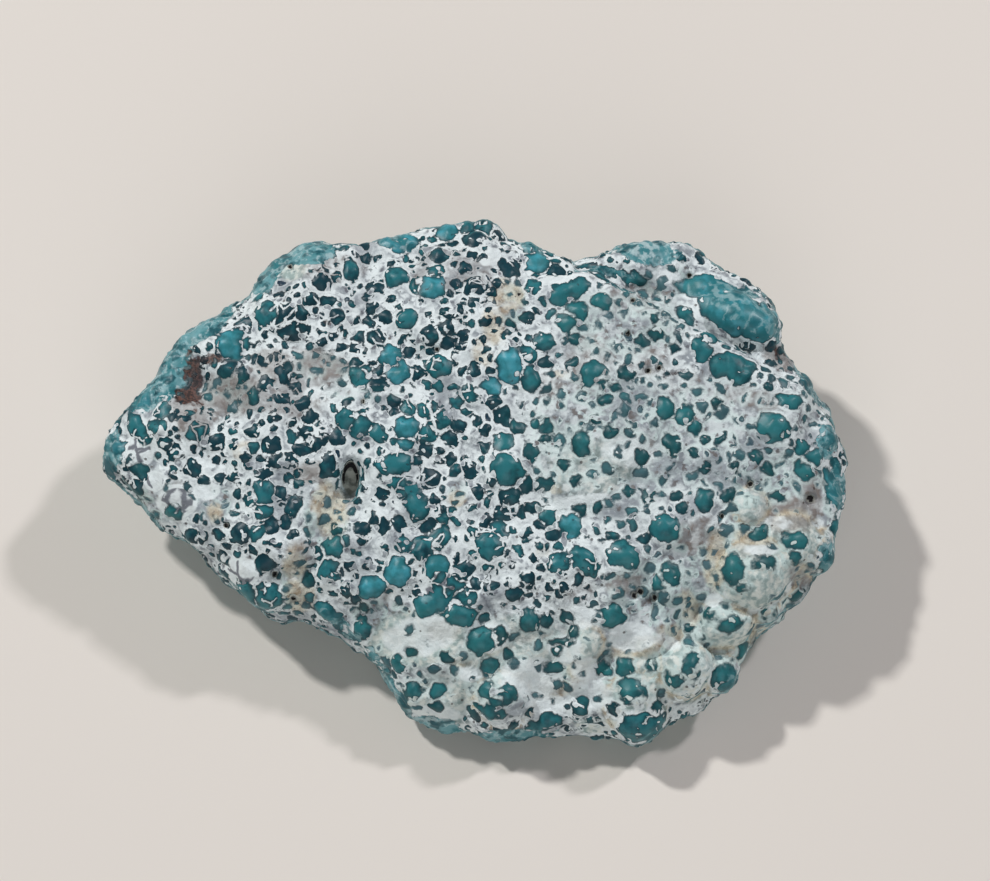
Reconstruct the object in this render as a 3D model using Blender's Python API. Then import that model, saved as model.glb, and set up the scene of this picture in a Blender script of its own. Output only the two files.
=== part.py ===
"""Raw turquoise nugget: one natural stone, modelled as one closed solid.

Metres, +Z up, origin under the middle of the stone on the surface it lies on. The long side
runs along X. The stone rests on a flat fracture face, and its widest line, the rim, tilts:
it is low in front (-Y) and high behind (+Y), so the broad upper face leans to the front.
"""
from math import atan2, cos, hypot, pi, sin, sqrt
import random

import bmesh
import bpy
from mathutils import Vector, kdtree, noise

MM = 0.001

# Driving dimensions, in millimetres.
RIM_HEIGHT = 8.0            # the rim over the ground, at the middle of the stone
RIM_SLOPE = 0.19            # how much the rim climbs for each millimetre to the back
FRONT_DROP = 2.2            # how far the front end of the rim hangs below that slope
DROP_FROM = -5.0            # the Y where the rim starts to drop
DROP_LENGTH = 15.0          # over how many millimetres it drops
CROWN = 4.9                 # the broad face over the rim, at the middle
UPPER_ROUNDNESS = 2.7       # 2 is an ellipse, more is a flatter face with a tighter edge
BELLY = 1.1                 # how far the round underside would reach below the ground
LOWER_ROUNDNESS = 2.15
LUMPS_OUTSIDE = 0.45        # how far the lumps stand outside the plain body at the rim
LEAN = 0.34                 # each feature of the upper face leans this far to the front, for
                            # each millimetre that the face stands over the rim there
HALF_WIDTH = 24.0           # the stone's mean reach from its middle, for spacing its points
SPHERE_STEPS = 7            # the round blank's subdivisions
SOLID_TRIANGLES = 9900      # what the solid may have before its flat cut

# The rim seen from above, counter-clockwise from the right end: X, Y.
OUTLINE = (
    (30.1, 0.4), (29.6, 3.5), (28.5, 5.6), (27.1, 8.1), (25.4, 9.4), (24.7, 10.2),
    (25.0, 11.6), (24.2, 14.1), (22.7, 15.7), (20.8, 16.7), (18.7, 17.8), (17.2, 18.9),
    (15.8, 19.4), (13.4, 19.1), (10.7, 18.3), (8.6, 17.9), (7.3, 18.0), (5.6, 18.7),
    (3.6, 19.6), (2.3, 19.9), (1.1, 20.8), (-0.7, 20.7), (-2.8, 20.1), (-5.6, 19.6),
    (-8.1, 19.5), (-10.2, 18.9), (-12.6, 19.3), (-15.0, 18.8), (-17.0, 17.4), (-18.2, 15.4),
    (-20.3, 14.1), (-22.5, 12.8), (-24.2, 11.2), (-25.6, 9.1), (-26.4, 7.5), (-28.3, 6.2),
    (-30.2, 4.4), (-30.8, 2.2), (-29.3, 0.0), (-27.1, -1.7), (-25.0, -3.4), (-23.1, -5.3),
    (-21.5, -6.8), (-20.0, -8.5), (-17.8, -10.3), (-15.8, -11.0), (-14.2, -10.7),
    (-12.6, -11.8), (-10.6, -12.6), (-8.7, -14.2), (-7.7, -16.2), (-6.3, -18.1),
    (-4.4, -19.6), (-1.6, -20.4), (1.6, -20.9), (4.8, -20.6), (7.6, -20.3), (9.9, -20.3),
    (11.8, -21.1), (13.9, -20.5), (15.6, -19.0), (17.9, -18.1), (20.3, -17.4), (21.4, -15.8),
    (21.7, -13.6), (23.4, -11.8), (25.4, -10.2), (26.7, -8.6), (28.6, -7.2), (29.4, -5.0),
    (29.7, -2.8),
)

# Broad swells and dips of the upper face: X, Y, reach along X, reach along Y, rise.
SWELLS = (
    (-15.0, 15.5, 6.0, 5.0, 0.9),       # the smooth shoulder, back left
    (-27.0, 2.5, 5.0, 5.0, -0.6),       # the left tip
    (17.5, 16.5, 9.0, 4.6, -1.5),       # the ledge behind the crease, back right
    (22.3, 13.2, 4.0, 3.2, 0.8),
    (-2.0, 13.0, 9.0, 6.0, 0.6),
    (10.0, 6.0, 8.0, 7.0, 0.4),
    (-8.0, 4.5, 8.0, 5.0, 0.5),
    (-19.0, -4.5, 6.5, 4.0, 0.7),
    (-3.5, -12.0, 5.0, 4.0, 0.6),
    (6.0, -8.0, 8.0, 6.0, 0.5),
    (15.0, -16.5, 7.0, 4.0, 0.6),
    (24.5, -5.5, 5.0, 6.0, 0.5),
    (5.5, -16.0, 4.0, 3.0, -0.7),
    (24.5, 7.0, 4.0, 3.5, 0.5),
)

# Furrows of the upper face: X, Y of both ends, half width, depth.
FURROWS = (
    (8.2, 17.6, 11.5, 16.6, 1.3, 0.9),      # the crease in front of the back right ledge
    (11.5, 16.6, 14.6, 15.0, 1.3, 1.0),
    (14.6, 15.0, 18.4, 12.6, 1.4, 1.0),
    (18.4, 12.6, 21.5, 11.0, 1.2, 1.0),
    (21.5, 11.0, 25.2, 9.8, 1.4, 1.3),
    (-23.0, 10.0, -20.6, 6.2, 2.0, 0.7),    # between the left tip and the body
    (-20.6, 6.2, -21.5, 1.0, 2.2, 0.8),
    (-10.2, 0.0, -12.4, -4.5, 1.6, 0.7),    # from the slot down to the notch in the rim
    (-12.4, -4.5, -15.0, -10.6, 2.0, 1.1),
    (19.0, -5.0, 17.6, -10.5, 1.5, 0.9),    # among the round lobes, front right
    (17.6, -10.5, 14.0, -14.2, 1.6, 0.9),
    (18.6, -12.9, 22.6, -13.2, 1.1, 0.7),
    (10.0, -14.0, 8.0, -19.5, 1.5, 0.8),
    (17.5, -10.0, 24.6, -9.8, 0.9, 0.6),
    (-15.0, 11.0, -11.0, 9.0, 1.5, 0.5),
    (-4.0, 10.2, -12.0, 7.0, 1.2, 0.4),
)

# Round lumps that stand on the upper face and on the rim: X, Y, radius, rise.
LUMPS = (
    (-17.1, 13.4, 1.7, 0.6), (-15.1, 12.9, 2.0, 0.7), (-19.7, 11.3, 1.8, 0.7),
    (-19.3, 8.5, 1.4, 0.5), (-13.0, 16.6, 1.5, 0.5), (-10.2, 17.0, 1.3, 0.5),
    (-6.4, 16.6, 1.4, 0.5), (-3.7, 15.7, 2.0, 0.7), (-3.4, 18.2, 1.3, 0.5),
    (-5.6, 13.2, 1.4, 0.5), (-8.0, 11.4, 1.4, 0.4), (-3.8, 11.6, 1.5, 0.5),
    (-1.9, 13.2, 1.8, 0.5), (-9.0, 8.3, 1.7, 0.6), (-6.5, 8.9, 1.8, 0.7),
    (-7.6, 7.3, 1.6, 0.5), (-2.9, 8.9, 1.5, 0.5), (0.2, 15.5, 1.5, 0.6),
    (-0.3, 7.1, 1.4, 0.5), (-10.3, 5.2, 1.4, 0.5), (-9.1, 4.4, 1.4, 0.5),
    (-7.7, 3.8, 1.3, 0.5), (-5.3, 3.6, 1.9, 0.8), (-3.8, 5.5, 1.4, 0.5),
    (-2.6, 4.7, 1.6, 0.6), (-6.9, 1.0, 1.9, 0.7), (-5.4, 1.3, 1.5, 0.5),
    (-20.8, 3.0, 1.3, 0.5), (-22.4, 4.2, 1.4, 0.5), (-25.3, 4.2, 1.5, 0.5),
    (-27.3, 4.8, 1.6, 0.5), (-28.0, 2.0, 1.9, 0.5), (-27.5, 0.1, 1.6, 0.5),
    (-22.3, 11.9, 2.4, 0.6), (-24.6, 9.1, 2.3, 0.5), (-17.0, 16.6, 2.6, 0.6),
    (-13.6, 18.5, 2.4, 0.6), (-7.4, 19.0, 2.0, 0.6), (-5.3, 19.4, 1.4, 0.5),
    (-1.6, 20.2, 1.8, 0.6), (1.2, 20.4, 1.7, 0.7), (-3.9, 19.9, 1.4, 0.5),
    (4.6, 18.8, 1.8, 0.6), (6.7, 17.5, 1.6, 0.5), (6.2, 15.1, 1.7, 0.6),
    (8.3, 15.6, 1.6, 0.6), (7.8, 13.4, 1.5, 0.5), (10.2, 14.6, 1.3, 0.5),
    (2.9, 9.9, 2.0, 0.9), (3.4, 8.6, 1.7, 0.8), (4.6, 8.0, 1.5, 0.7),
    (9.4, 8.4, 1.8, 0.7), (12.1, 8.6, 1.2, 0.4), (5.7, 11.3, 1.3, 0.4),
    (18.4, 10.7, 1.6, 0.6), (20.8, 9.1, 2.1, 0.9), (2.4, 1.4, 2.4, 1.0),
    (2.4, 3.6, 1.4, 0.5), (8.5, 2.9, 1.4, 0.5), (15.2, 5.8, 1.3, 0.5),
    (17.0, 4.9, 1.5, 0.5), (15.8, 2.8, 1.2, 0.5), (25.6, 6.4, 1.6, 0.6),
    (24.2, 4.2, 2.1, 0.9), (28.2, 3.6, 1.5, 0.5), (26.8, 1.3, 1.7, 0.5),
    (14.0, 18.0, 3.0, 0.6), (22.9, 13.0, 2.4, 0.9), (21.0, 13.9, 2.1, 0.8),
    (19.0, 15.6, 1.8, 0.5), (17.0, 18.4, 1.8, 0.5), (23.3, 14.9, 1.7, 0.5),
    (2.8, -1.5, 1.5, 0.5), (1.2, -5.4, 1.8, 0.8), (15.3, -4.0, 1.7, 0.9),
    (11.8, -6.0, 1.8, 0.9), (11.1, -4.6, 1.2, 0.4), (8.5, -6.1, 1.5, 0.7),
    (9.3, -7.3, 1.4, 0.6), (6.7, -6.8, 1.6, 0.6), (15.4, -8.0, 1.8, 0.7),
    (11.0, -11.1, 1.6, 0.7), (0.6, -13.0, 1.7, 0.7), (4.4, -11.3, 1.4, 0.5),
    (8.6, -13.3, 1.8, 0.6), (1.6, -17.4, 2.3, 0.9), (12.6, -17.1, 1.7, 0.7),
    (13.4, -19.3, 2.6, 1.0), (17.0, -15.2, 2.6, 1.1), (19.8, -15.7, 2.0, 0.8),
    (21.9, -7.6, 2.9, 1.3), (26.0, -5.6, 2.1, 0.9), (23.2, -4.5, 1.4, 0.5),
    (22.3, -2.0, 1.7, 0.6), (18.5, -1.7, 1.3, 0.5), (20.4, -1.2, 1.3, 0.4),
    (20.0, -11.3, 2.3, 1.0), (23.6, -10.6, 1.5, 0.6), (26.0, -8.9, 1.6, 0.6),
    (28.1, -6.1, 1.6, 0.6), (29.0, -1.0, 1.7, 0.5), (28.2, -3.5, 1.6, 0.5),
    (25.3, -2.5, 1.8, 0.6), (14.5, -12.2, 1.8, 0.6), (10.6, -15.6, 1.4, 0.5),
    (12.1, -14.8, 1.3, 0.5), (14.0, -15.1, 1.3, 0.5), (8.4, -18.4, 1.5, 0.5),
    (5.8, -19.2, 1.6, 0.5), (3.1, -19.2, 1.4, 0.4), (21.3, -13.7, 1.5, 0.6),
    (-17.2, -1.6, 2.2, 0.6), (-24.0, -2.1, 1.8, 0.5), (-21.3, -2.8, 1.7, 0.5),
    (-11.7, -5.2, 1.4, 0.5), (-5.6, -0.6, 1.5, 0.6), (-4.5, -2.0, 1.5, 0.7),
    (-4.3, -5.6, 1.6, 0.7), (-3.0, -4.9, 1.5, 0.7), (-2.8, -7.5, 2.1, 0.8),
    (-3.6, -9.8, 1.9, 0.7), (-1.7, -10.6, 1.8, 0.6), (-0.6, -9.1, 1.5, 0.5),
    (-6.2, -7.4, 1.7, 0.6), (-8.4, -8.6, 1.5, 0.7), (-18.5, -7.4, 2.0, 0.7),
    (-17.2, -9.4, 2.0, 0.5), (-11.9, -10.7, 1.4, 0.5), (-9.1, -11.9, 1.3, 0.5),
    (-6.1, -14.7, 1.4, 0.5), (-4.7, -16.9, 1.6, 0.5), (-2.8, -17.5, 1.6, 0.5),
    (-16.6, -5.0, 1.6, 0.5), (-9.4, -4.2, 1.4, 0.4), (-14.0, -3.0, 1.6, 0.5),
    (13.2, 12.4, 1.6, 0.4), (17.4, 13.6, 1.4, 0.4), (11.0, 4.0, 1.6, 0.4),
    (20.8, 4.6, 1.6, 0.4), (6.0, 5.4, 1.6, 0.4), (22.4, 1.2, 1.5, 0.4),
)

# Pits in the upper face: X, Y, radius, depth. The first two make one deep slot.
PITS = (
    (-10.1, 0.9, 1.2, 1.2), (-10.2, -0.5, 1.2, 1.0), (-22.9, 7.6, 1.6, 0.6),
    (14.0, -9.6, 1.2, 0.5), (-16.0, -7.9, 1.2, 0.4),
)

# Broken planes low on the stone: a point on each and the way it faces, then how far towards
# the plane the stone is worn (1 is flat).
BREAKS = (
    ((-19.0, -8.0, 2.6), (-0.55, -0.62, -0.56), 0.7),
    ((18.5, 12.5, 3.2), (0.50, 0.55, -0.67), 0.7),
    ((-16.0, 12.5, 4.0), (-0.62, 0.60, -0.50), 0.6),
    ((24.6, -4.0, 2.6), (0.80, -0.10, -0.59), 0.6),
    ((2.0, 17.2, 4.6), (0.05, 0.82, -0.57), 0.7),
)

SIDE_LUMPS = 170            # lumps sown over the sides and the underside
SIDE_LUMP_RADIUS = (1.4, 3.3)
FACE_LUMPS = 150            # lumps sown between the others on the upper face
FACE_LUMP_RADIUS = (1.0, 1.6)
SOWN_RISE = 0.32            # of a sown lump's radius
ROUGHNESS = 0.45            # the irregular swell of the whole surface
GRAIN_SIZE = 5.5            # the size of its waves
CUT_CLEARANCE = 0.2         # points keep this far from the ground, so the cut leaves no slivers

STONE_COLOUR = (0.16, 0.36, 0.38, 1.0)


def smooth_step(value):
    """Ease from 0 to 1."""
    value = min(max(value, 0.0), 1.0)
    return value * value * (3.0 - 2.0 * value)


def outline_table(steps=720):
    """The rim's reach from the middle in each of steps directions, with its corners eased."""
    corners = sorted((atan2(y, x), hypot(x, y)) for x, y in OUTLINE)
    first, last = corners[0], corners[-1]
    corners = [(last[0] - 2 * pi, last[1])] + corners + [(first[0] + 2 * pi, first[1])]
    reach = []
    at = 0
    for step in range(steps):
        angle = -pi + 2 * pi * step / steps
        while corners[at + 1][0] < angle:
            at += 1
        (a0, r0), (a1, r1) = corners[at], corners[at + 1]
        reach.append(r0 + (r1 - r0) * (angle - a0) / (a1 - a0))
    window = range(-4, 5)
    return [sum(reach[(i + k) % steps] for k in window) / len(window) for i in range(steps)]


def rim_reach(angle, table):
    """The rim's reach in one direction, between the table's two nearest entries."""
    place = (angle + pi) / (2 * pi) * len(table)
    low = int(place)
    part = place - low
    return table[low % len(table)] * (1 - part) + table[(low + 1) % len(table)] * part


def rim_height(y):
    """The height of the rim's plane over the ground."""
    return RIM_HEIGHT + RIM_SLOPE * y


def relief(x, y):
    """The swells and furrows of the upper face at one place."""
    rise = 0.0
    for cx, cy, reach_x, reach_y, height in SWELLS:
        away = hypot((x - cx) / reach_x, (y - cy) / reach_y)
        rise += height * smooth_step(1.0 - away)
    cut = 0.0
    for x0, y0, x1, y1, half_width, depth in FURROWS:
        run_x, run_y = x1 - x0, y1 - y0
        along = ((x - x0) * run_x + (y - y0) * run_y) / (run_x ** 2 + run_y ** 2)
        along = min(max(along, 0.0), 1.0)
        away = hypot(x - x0 - along * run_x, y - y0 - along * run_y)
        cut = max(cut, depth * smooth_step(1.0 - away / half_width))
    return rise - cut


def profile_table(roundness, height, steps=400):
    """A quarter profile from the pole to the rim, as shares of its reach and height.

    The entries are spaced evenly along the curve, so the points of the body are too.
    """
    curve = []
    for step in range(steps * 8 + 1):
        turn = pi / 2 * step / (steps * 8)
        curve.append((sin(turn) ** (2 / roundness), cos(turn) ** (2 / roundness)))
    length = [0.0]
    for (s0, h0), (s1, h1) in zip(curve, curve[1:]):
        length.append(length[-1] + hypot((s1 - s0) * HALF_WIDTH, (h1 - h0) * height))
    table = []
    at = 0
    for step in range(steps + 1):
        while at < len(length) - 1 and length[at] < length[-1] * step / steps:
            at += 1
        table.append(curve[at])
    return table


def body_point(direction, table, upper_profile, lower_profile):
    """Where a point of the round blank goes on the plain body, in millimetres."""
    angle = atan2(direction.y, direction.x)
    upper = direction.z >= 0
    profile = upper_profile if upper else lower_profile
    along = sqrt(1.0 - min(abs(direction.z), 1.0)) * (len(profile) - 1)
    low = min(int(along), len(profile) - 2)
    part = along - low
    across = profile[low][0] * (1 - part) + profile[low + 1][0] * part
    lift = profile[low][1] * (1 - part) + profile[low + 1][1] * part
    spread = (rim_reach(angle, table) - LUMPS_OUTSIDE) * across
    x, y = spread * cos(angle), spread * sin(angle)
    drop = FRONT_DROP * smooth_step((DROP_FROM - y) / DROP_LENGTH)
    y += LEAN * drop
    rim = rim_height(y) - drop
    if upper:
        facing_up = smooth_step(direction.z * 2.5)
        rise = relief(x, y + LEAN * (CROWN * lift - drop)) * facing_up
        return Vector((x, y, rim + CROWN * lift + rise))
    return Vector((x, y, rim - (rim + BELLY) * lift))


def wear(point):
    """Move a point that stands beyond a broken plane back towards it."""
    for origin, facing, share in BREAKS:
        normal = Vector(facing).normalized()
        beyond = (point - Vector(origin)).dot(normal)
        if beyond > 0:
            point = point - normal * beyond * share
    return point


def ripple(point):
    """The irregular swell of the surface, from broad waves and finer ones."""
    broad = noise.noise(point / GRAIN_SIZE)
    fine = noise.noise(point * 2.3 / GRAIN_SIZE + Vector((31.0, 7.0, 12.0)))
    return ROUGHNESS * (broad + 0.45 * fine)


def dome(share):
    """The height of a round lump at a share of its radius from its middle."""
    return (1.0 - share * share) ** 0.7


def foot(point):
    """Where a point of the upper face is in the lists of features, which lie on the rim."""
    return Vector((point.x, point.y + LEAN * (point.z - rim_height(point.y)), 0.0))


def sow(places, ground, count, sizes, chooser):
    """Add lumps at random places on the given ground, clear of those there already."""
    sown = 0
    for _ in range(count * 12):
        place = chooser.choice(ground).co.copy()
        radius = chooser.uniform(*sizes)
        if all((place - other).length > 0.72 * (radius + size) for other, size, rise in places):
            places.append((place, radius, SOWN_RISE * radius))
            sown += 1
        if sown == count:
            break


def lump_places(bm):
    """Every lump as its middle on the body, its radius and its rise."""
    places = []
    upper = [v for v in bm.verts if v.normal.z > -0.25]
    plan = kdtree.KDTree(len(upper))
    for i, vert in enumerate(upper):
        plan.insert(foot(vert.co), i)
    plan.balance()
    for x, y, radius, rise in LUMPS:
        found = plan.find((x, y, 0.0))[1]
        places.append((upper[found].co.copy(), radius, rise))
    chooser = random.Random(41)
    sides = [v for v in bm.verts if v.normal.z < 0.12 and v.co.z > -1.0]
    face = [v for v in bm.verts if v.normal.z > 0.12]
    sow(places, sides, SIDE_LUMPS, SIDE_LUMP_RADIUS, chooser)
    sow(places, face, FACE_LUMPS, FACE_LUMP_RADIUS, chooser)
    return places


def raise_lumps(bm):
    """Move the surface outwards into lumps, which meet in creases, and inwards into pits."""
    bm.normal_update()
    bm.verts.ensure_lookup_table()
    tree = kdtree.KDTree(len(bm.verts))
    for vert in bm.verts:
        tree.insert(vert.co, vert.index)
    tree.balance()
    lift = [0.0] * len(bm.verts)
    places = lump_places(bm)
    for middle, radius, rise in places:
        for _, index, away in tree.find_range(middle, radius):
            lift[index] = max(lift[index], rise * dome(away / radius))
    for x, y, radius, depth in PITS:
        for vert in bm.verts:
            away = (foot(vert.co) - Vector((x, y, 0.0))).length
            if away < radius and vert.normal.z > 0.3:
                lift[vert.index] -= depth * smooth_step(2.0 - 2.0 * away / radius)
    for vert in bm.verts:
        vert.co += vert.normal * (lift[vert.index] + ripple(vert.co))
    return len(places)


def shape_blank():
    """The round blank worked into the nugget, in millimetres, still round underneath."""
    bm = bmesh.new()
    bmesh.ops.create_icosphere(bm, subdivisions=SPHERE_STEPS, radius=1.0)
    table = outline_table()
    upper_profile = profile_table(UPPER_ROUNDNESS, CROWN)
    lower_profile = profile_table(LOWER_ROUNDNESS, RIM_HEIGHT + BELLY)
    for vert in bm.verts:
        vert.co = wear(body_point(vert.co.normalized(), table, upper_profile, lower_profile))
    bmesh.ops.smooth_vert(
        bm, verts=bm.verts, factor=0.5, use_axis_x=True, use_axis_y=True, use_axis_z=True
    )
    raise_lumps(bm)
    return bm


def thin_out(bm):
    """The same surface with few enough triangles for a solid."""
    mesh = bpy.data.meshes.new("nugget_full")
    bm.to_mesh(mesh)
    bm.free()
    worker = bpy.data.objects.new("nugget_full", mesh)
    bpy.context.scene.collection.objects.link(worker)
    thin = worker.modifiers.new("Thin", "DECIMATE")
    thin.ratio = SOLID_TRIANGLES / len(mesh.polygons)
    bpy.context.view_layer.update()
    evaluated = worker.evaluated_get(bpy.context.evaluated_depsgraph_get())
    thinned = bpy.data.meshes.new_from_object(evaluated)
    bpy.data.objects.remove(worker)
    bpy.data.meshes.remove(mesh)
    return thinned


def drop_islands(bm):
    """Keep the largest connected piece: the cut can leave the roof of a hollow by itself."""
    unseen = dict.fromkeys(bm.verts)
    pieces = []
    while unseen:
        piece = [unseen.popitem()[0]]
        for vert in piece:
            for edge in vert.link_edges:
                other = edge.other_vert(vert)
                if other in unseen:
                    del unseen[other]
                    piece.append(other)
        pieces.append(piece)
    pieces.sort(key=len)
    strays = [vert for piece in pieces[:-1] for vert in piece]
    bmesh.ops.delete(bm, geom=strays, context="VERTS")


def cut_flat(bm):
    """Cut the stone off at the ground, which leaves the flat fracture face it rests on."""
    for vert in bm.verts:
        if abs(vert.co.z) < CUT_CLEARANCE:
            vert.co.z = CUT_CLEARANCE if vert.co.z > 0 else -CUT_CLEARANCE
    everything = bm.verts[:] + bm.edges[:] + bm.faces[:]
    bmesh.ops.bisect_plane(
        bm, geom=everything, dist=1e-4, plane_co=(0, 0, 0), plane_no=(0, 0, 1), clear_inner=True
    )
    drop_islands(bm)
    border = [edge for edge in bm.edges if edge.is_boundary]
    for edge in border:
        for vert in edge.verts:
            vert.co.z = 0.0
    bmesh.ops.contextual_create(bm, geom=border)
    bmesh.ops.triangulate(bm, faces=bm.faces)
    bmesh.ops.recalc_face_normals(bm, faces=bm.faces)


def centre(bm):
    """Put the middle of the stone's box over the origin, and turn millimetres into metres."""
    xs = [vert.co.x for vert in bm.verts]
    ys = [vert.co.y for vert in bm.verts]
    middle = Vector(((min(xs) + max(xs)) / 2, (min(ys) + max(ys)) / 2, 0.0))
    bmesh.ops.translate(bm, verts=bm.verts, vec=-middle)
    bmesh.ops.scale(bm, verts=bm.verts, vec=(MM, MM, MM))


def stone_material():
    """Turquoise in a pale crust, as one average colour."""
    material = bpy.data.materials.new("turquoise_in_matrix")
    material.use_nodes = True
    shader = material.node_tree.nodes["Principled BSDF"]
    shader.inputs["Base Color"].default_value = STONE_COLOUR
    shader.inputs["Roughness"].default_value = 0.6
    shader.inputs["Metallic"].default_value = 0.0
    return material


def make_nugget():
    """The finished stone, in a collection of its own."""
    thinned = thin_out(shape_blank())
    bm = bmesh.new()
    bm.from_mesh(thinned)
    bpy.data.meshes.remove(thinned)
    cut_flat(bm)
    centre(bm)
    mesh = bpy.data.meshes.new("turquoise_nugget")
    bm.to_mesh(mesh)
    bm.free()
    mesh.materials.append(stone_material())
    nugget = bpy.data.objects.new("turquoise_nugget", mesh)
    collection = bpy.data.collections.new("raw_turquoise_nugget")
    bpy.context.scene.collection.children.link(collection)
    collection.objects.link(nugget)
    print("nugget", len(mesh.polygons), "triangles", [round(d / MM, 2) for d in nugget.dimensions])


for leftover in list(bpy.data.objects):
    bpy.data.objects.remove(leftover)
make_nugget()
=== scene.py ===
# %% [markdown]
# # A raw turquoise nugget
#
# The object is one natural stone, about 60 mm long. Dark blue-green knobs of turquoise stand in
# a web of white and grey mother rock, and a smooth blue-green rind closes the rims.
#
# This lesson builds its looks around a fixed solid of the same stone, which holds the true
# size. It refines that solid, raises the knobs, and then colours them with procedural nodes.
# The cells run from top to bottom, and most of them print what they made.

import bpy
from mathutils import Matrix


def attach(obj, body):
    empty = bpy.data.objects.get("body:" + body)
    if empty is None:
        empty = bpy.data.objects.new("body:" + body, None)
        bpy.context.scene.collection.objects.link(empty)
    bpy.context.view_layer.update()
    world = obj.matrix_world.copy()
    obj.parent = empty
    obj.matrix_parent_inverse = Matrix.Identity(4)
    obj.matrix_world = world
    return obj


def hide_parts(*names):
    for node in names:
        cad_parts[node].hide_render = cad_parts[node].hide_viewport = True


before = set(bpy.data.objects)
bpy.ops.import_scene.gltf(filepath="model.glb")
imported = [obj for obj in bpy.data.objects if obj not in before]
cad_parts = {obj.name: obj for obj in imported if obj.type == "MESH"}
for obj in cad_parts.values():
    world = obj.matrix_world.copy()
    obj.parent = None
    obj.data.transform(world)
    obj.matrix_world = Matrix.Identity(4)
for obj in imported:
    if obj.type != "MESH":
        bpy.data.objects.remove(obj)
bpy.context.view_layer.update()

# %% Other modules, and the unit
from math import cos, pi, radians, sin

import bmesh
import bpy
import numpy as np
from mathutils import Vector, kdtree, noise

MM = 0.001
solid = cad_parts["turquoise_nugget"]
print("solid triangles:", len(solid.data.polygons))

# %% [markdown]
# ## The camera
#
# The stone is seen from in front and steeply from above, as something on a table is. A long
# lens keeps it free of distortion. The camera could be aimed by a constraint, but a direction
# worked out once is plainer. Its place comes first, because the list of knobs further down
# says where each one appears from there.

# %% The camera
ELEVATION = radians(70.0)
DISTANCE = 400.0            # millimetres, as all the modelling below
SENSOR = 36.0
LENS = 180.36
AIM = Vector((1.613, 2.993, 9.089))

backwards = Vector((0.0, -cos(ELEVATION), sin(ELEVATION)))
eye = AIM + backwards * DISTANCE
camera = bpy.data.objects.new("camera", bpy.data.cameras.new("camera"))
bpy.context.scene.collection.objects.link(camera)
camera.location = eye * MM
camera.rotation_euler = (pi / 2 - ELEVATION, 0.0, 0.0)
camera.data.lens = LENS
camera.data.sensor_width = SENSOR
camera.data.clip_start = 0.01
bpy.context.scene.camera = camera
print("camera at", [round(value, 4) for value in camera.location])

# %% [markdown]
# ## Where things appear
#
# The widest line of the stone, its rim, lies on a tilted plane: low in front and high behind.
# Every list below gives places on that plane, in millimetres, as they appear from the camera.
# A surface point is carried along its line of sight to the plane to find where it appears.
# Plain plan positions would slide the features forward, because the face stands over the rim.

# %% Carry points to the rim's plane
RIM_HEIGHT = 8.0
RIM_SLOPE = 0.19


def seen_at(points):
    """X and Y on the rim's plane of each point, along its line of sight."""
    normal = np.array((0.0, -RIM_SLOPE, 1.0))
    start = np.array(eye)
    sight = points - start
    share = (RIM_HEIGHT - start @ normal) / (sight @ normal)
    return (start + sight * share[:, None])[:, :2]


over_the_middle = np.array([[0.0, 0.0, 12.0]])
print("12 mm over the middle is seen at", seen_at(over_the_middle)[0].round(2))

# %% [markdown]
# ## A fine copy of the solid
#
# The solid has flat facets nearly a millimetre across. A copy is merged into one surface,
# rounded by one subdivision, and remeshed into even small faces, so that knobs less than a
# millimetre across can be raised anywhere. Sculpting by hand could do the same, but it could
# not be repeated by a script.

# %% Copy, merge and refine
VOXEL = 0.17                # millimetres between the points
SOFTENING = 0.5
SOFTENING_ROUNDS = 6
CLEARLY_SEEN = 0.15         # how squarely the surface must face the camera to count as front


def bake_modifiers(obj):
    """Replace a piece's mesh by what its modifiers make of it."""
    evaluated = obj.evaluated_get(bpy.context.evaluated_depsgraph_get())
    mesh = bpy.data.meshes.new_from_object(evaluated)
    old = obj.data
    obj.modifiers.clear()
    obj.data = mesh
    bpy.data.meshes.remove(old)


bm = bmesh.new()
bm.from_mesh(solid.data)
bmesh.ops.remove_doubles(bm, verts=bm.verts, dist=1e-6)
bmesh.ops.scale(bm, verts=bm.verts, vec=(1 / MM, 1 / MM, 1 / MM))
stone_mesh = bpy.data.meshes.new("turquoise_stone")
bm.to_mesh(stone_mesh)
bm.free()
stone = bpy.data.objects.new("turquoise_stone", stone_mesh)
bpy.context.scene.collection.objects.link(stone)
rounding = stone.modifiers.new("Rounding", "SUBSURF")
rounding.levels = 1
rounding.render_levels = 1
even = stone.modifiers.new("Even", "REMESH")
even.mode = "VOXEL"
even.voxel_size = VOXEL
soften = stone.modifiers.new("Soften", "SMOOTH")
soften.factor = SOFTENING
soften.iterations = SOFTENING_ROUNDS
bake_modifiers(stone)
print("fine copy:", len(stone.data.vertices), "points")

# %% [markdown]
# ## Reading and moving the points
#
# More than a hundred thousand points are too many to move one at a time in a loop, so they are read
# into one array, changed together and written back. The noise functions take one point at a
# time, and a small helper calls them along the array.

# %% Helpers for points


def read_points(mesh):
    """All the points as an array, and the way the surface faces at each."""
    places = np.empty(len(mesh.vertices) * 3)
    facing = np.empty(len(mesh.vertices) * 3)
    mesh.vertices.foreach_get("co", places)
    mesh.vertices.foreach_get("normal", facing)
    return places.reshape(-1, 3), facing.reshape(-1, 3)


def write_points(mesh, places):
    """Put the points where the array says."""
    mesh.vertices.foreach_set("co", places.ravel())
    mesh.update()


def waves(points, size, shift=0.0):
    """Smooth irregular waves of the given size, from about -1 to 1."""
    scaled = points / size + shift
    return np.array([noise.noise(point) for point in scaled])


def ease(values):
    """A soft step from 0 to 1."""
    values = np.clip(values, 0.0, 1.0)
    return values * values * (3.0 - 2.0 * values)


def facing_the_eye(places, facing):
    """1 where the surface squarely faces the camera, 0 edge on, less where it is hidden."""
    sight = np.array(eye) - places
    sight /= np.linalg.norm(sight, axis=1)[:, None]
    return (facing * sight).sum(1)


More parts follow.
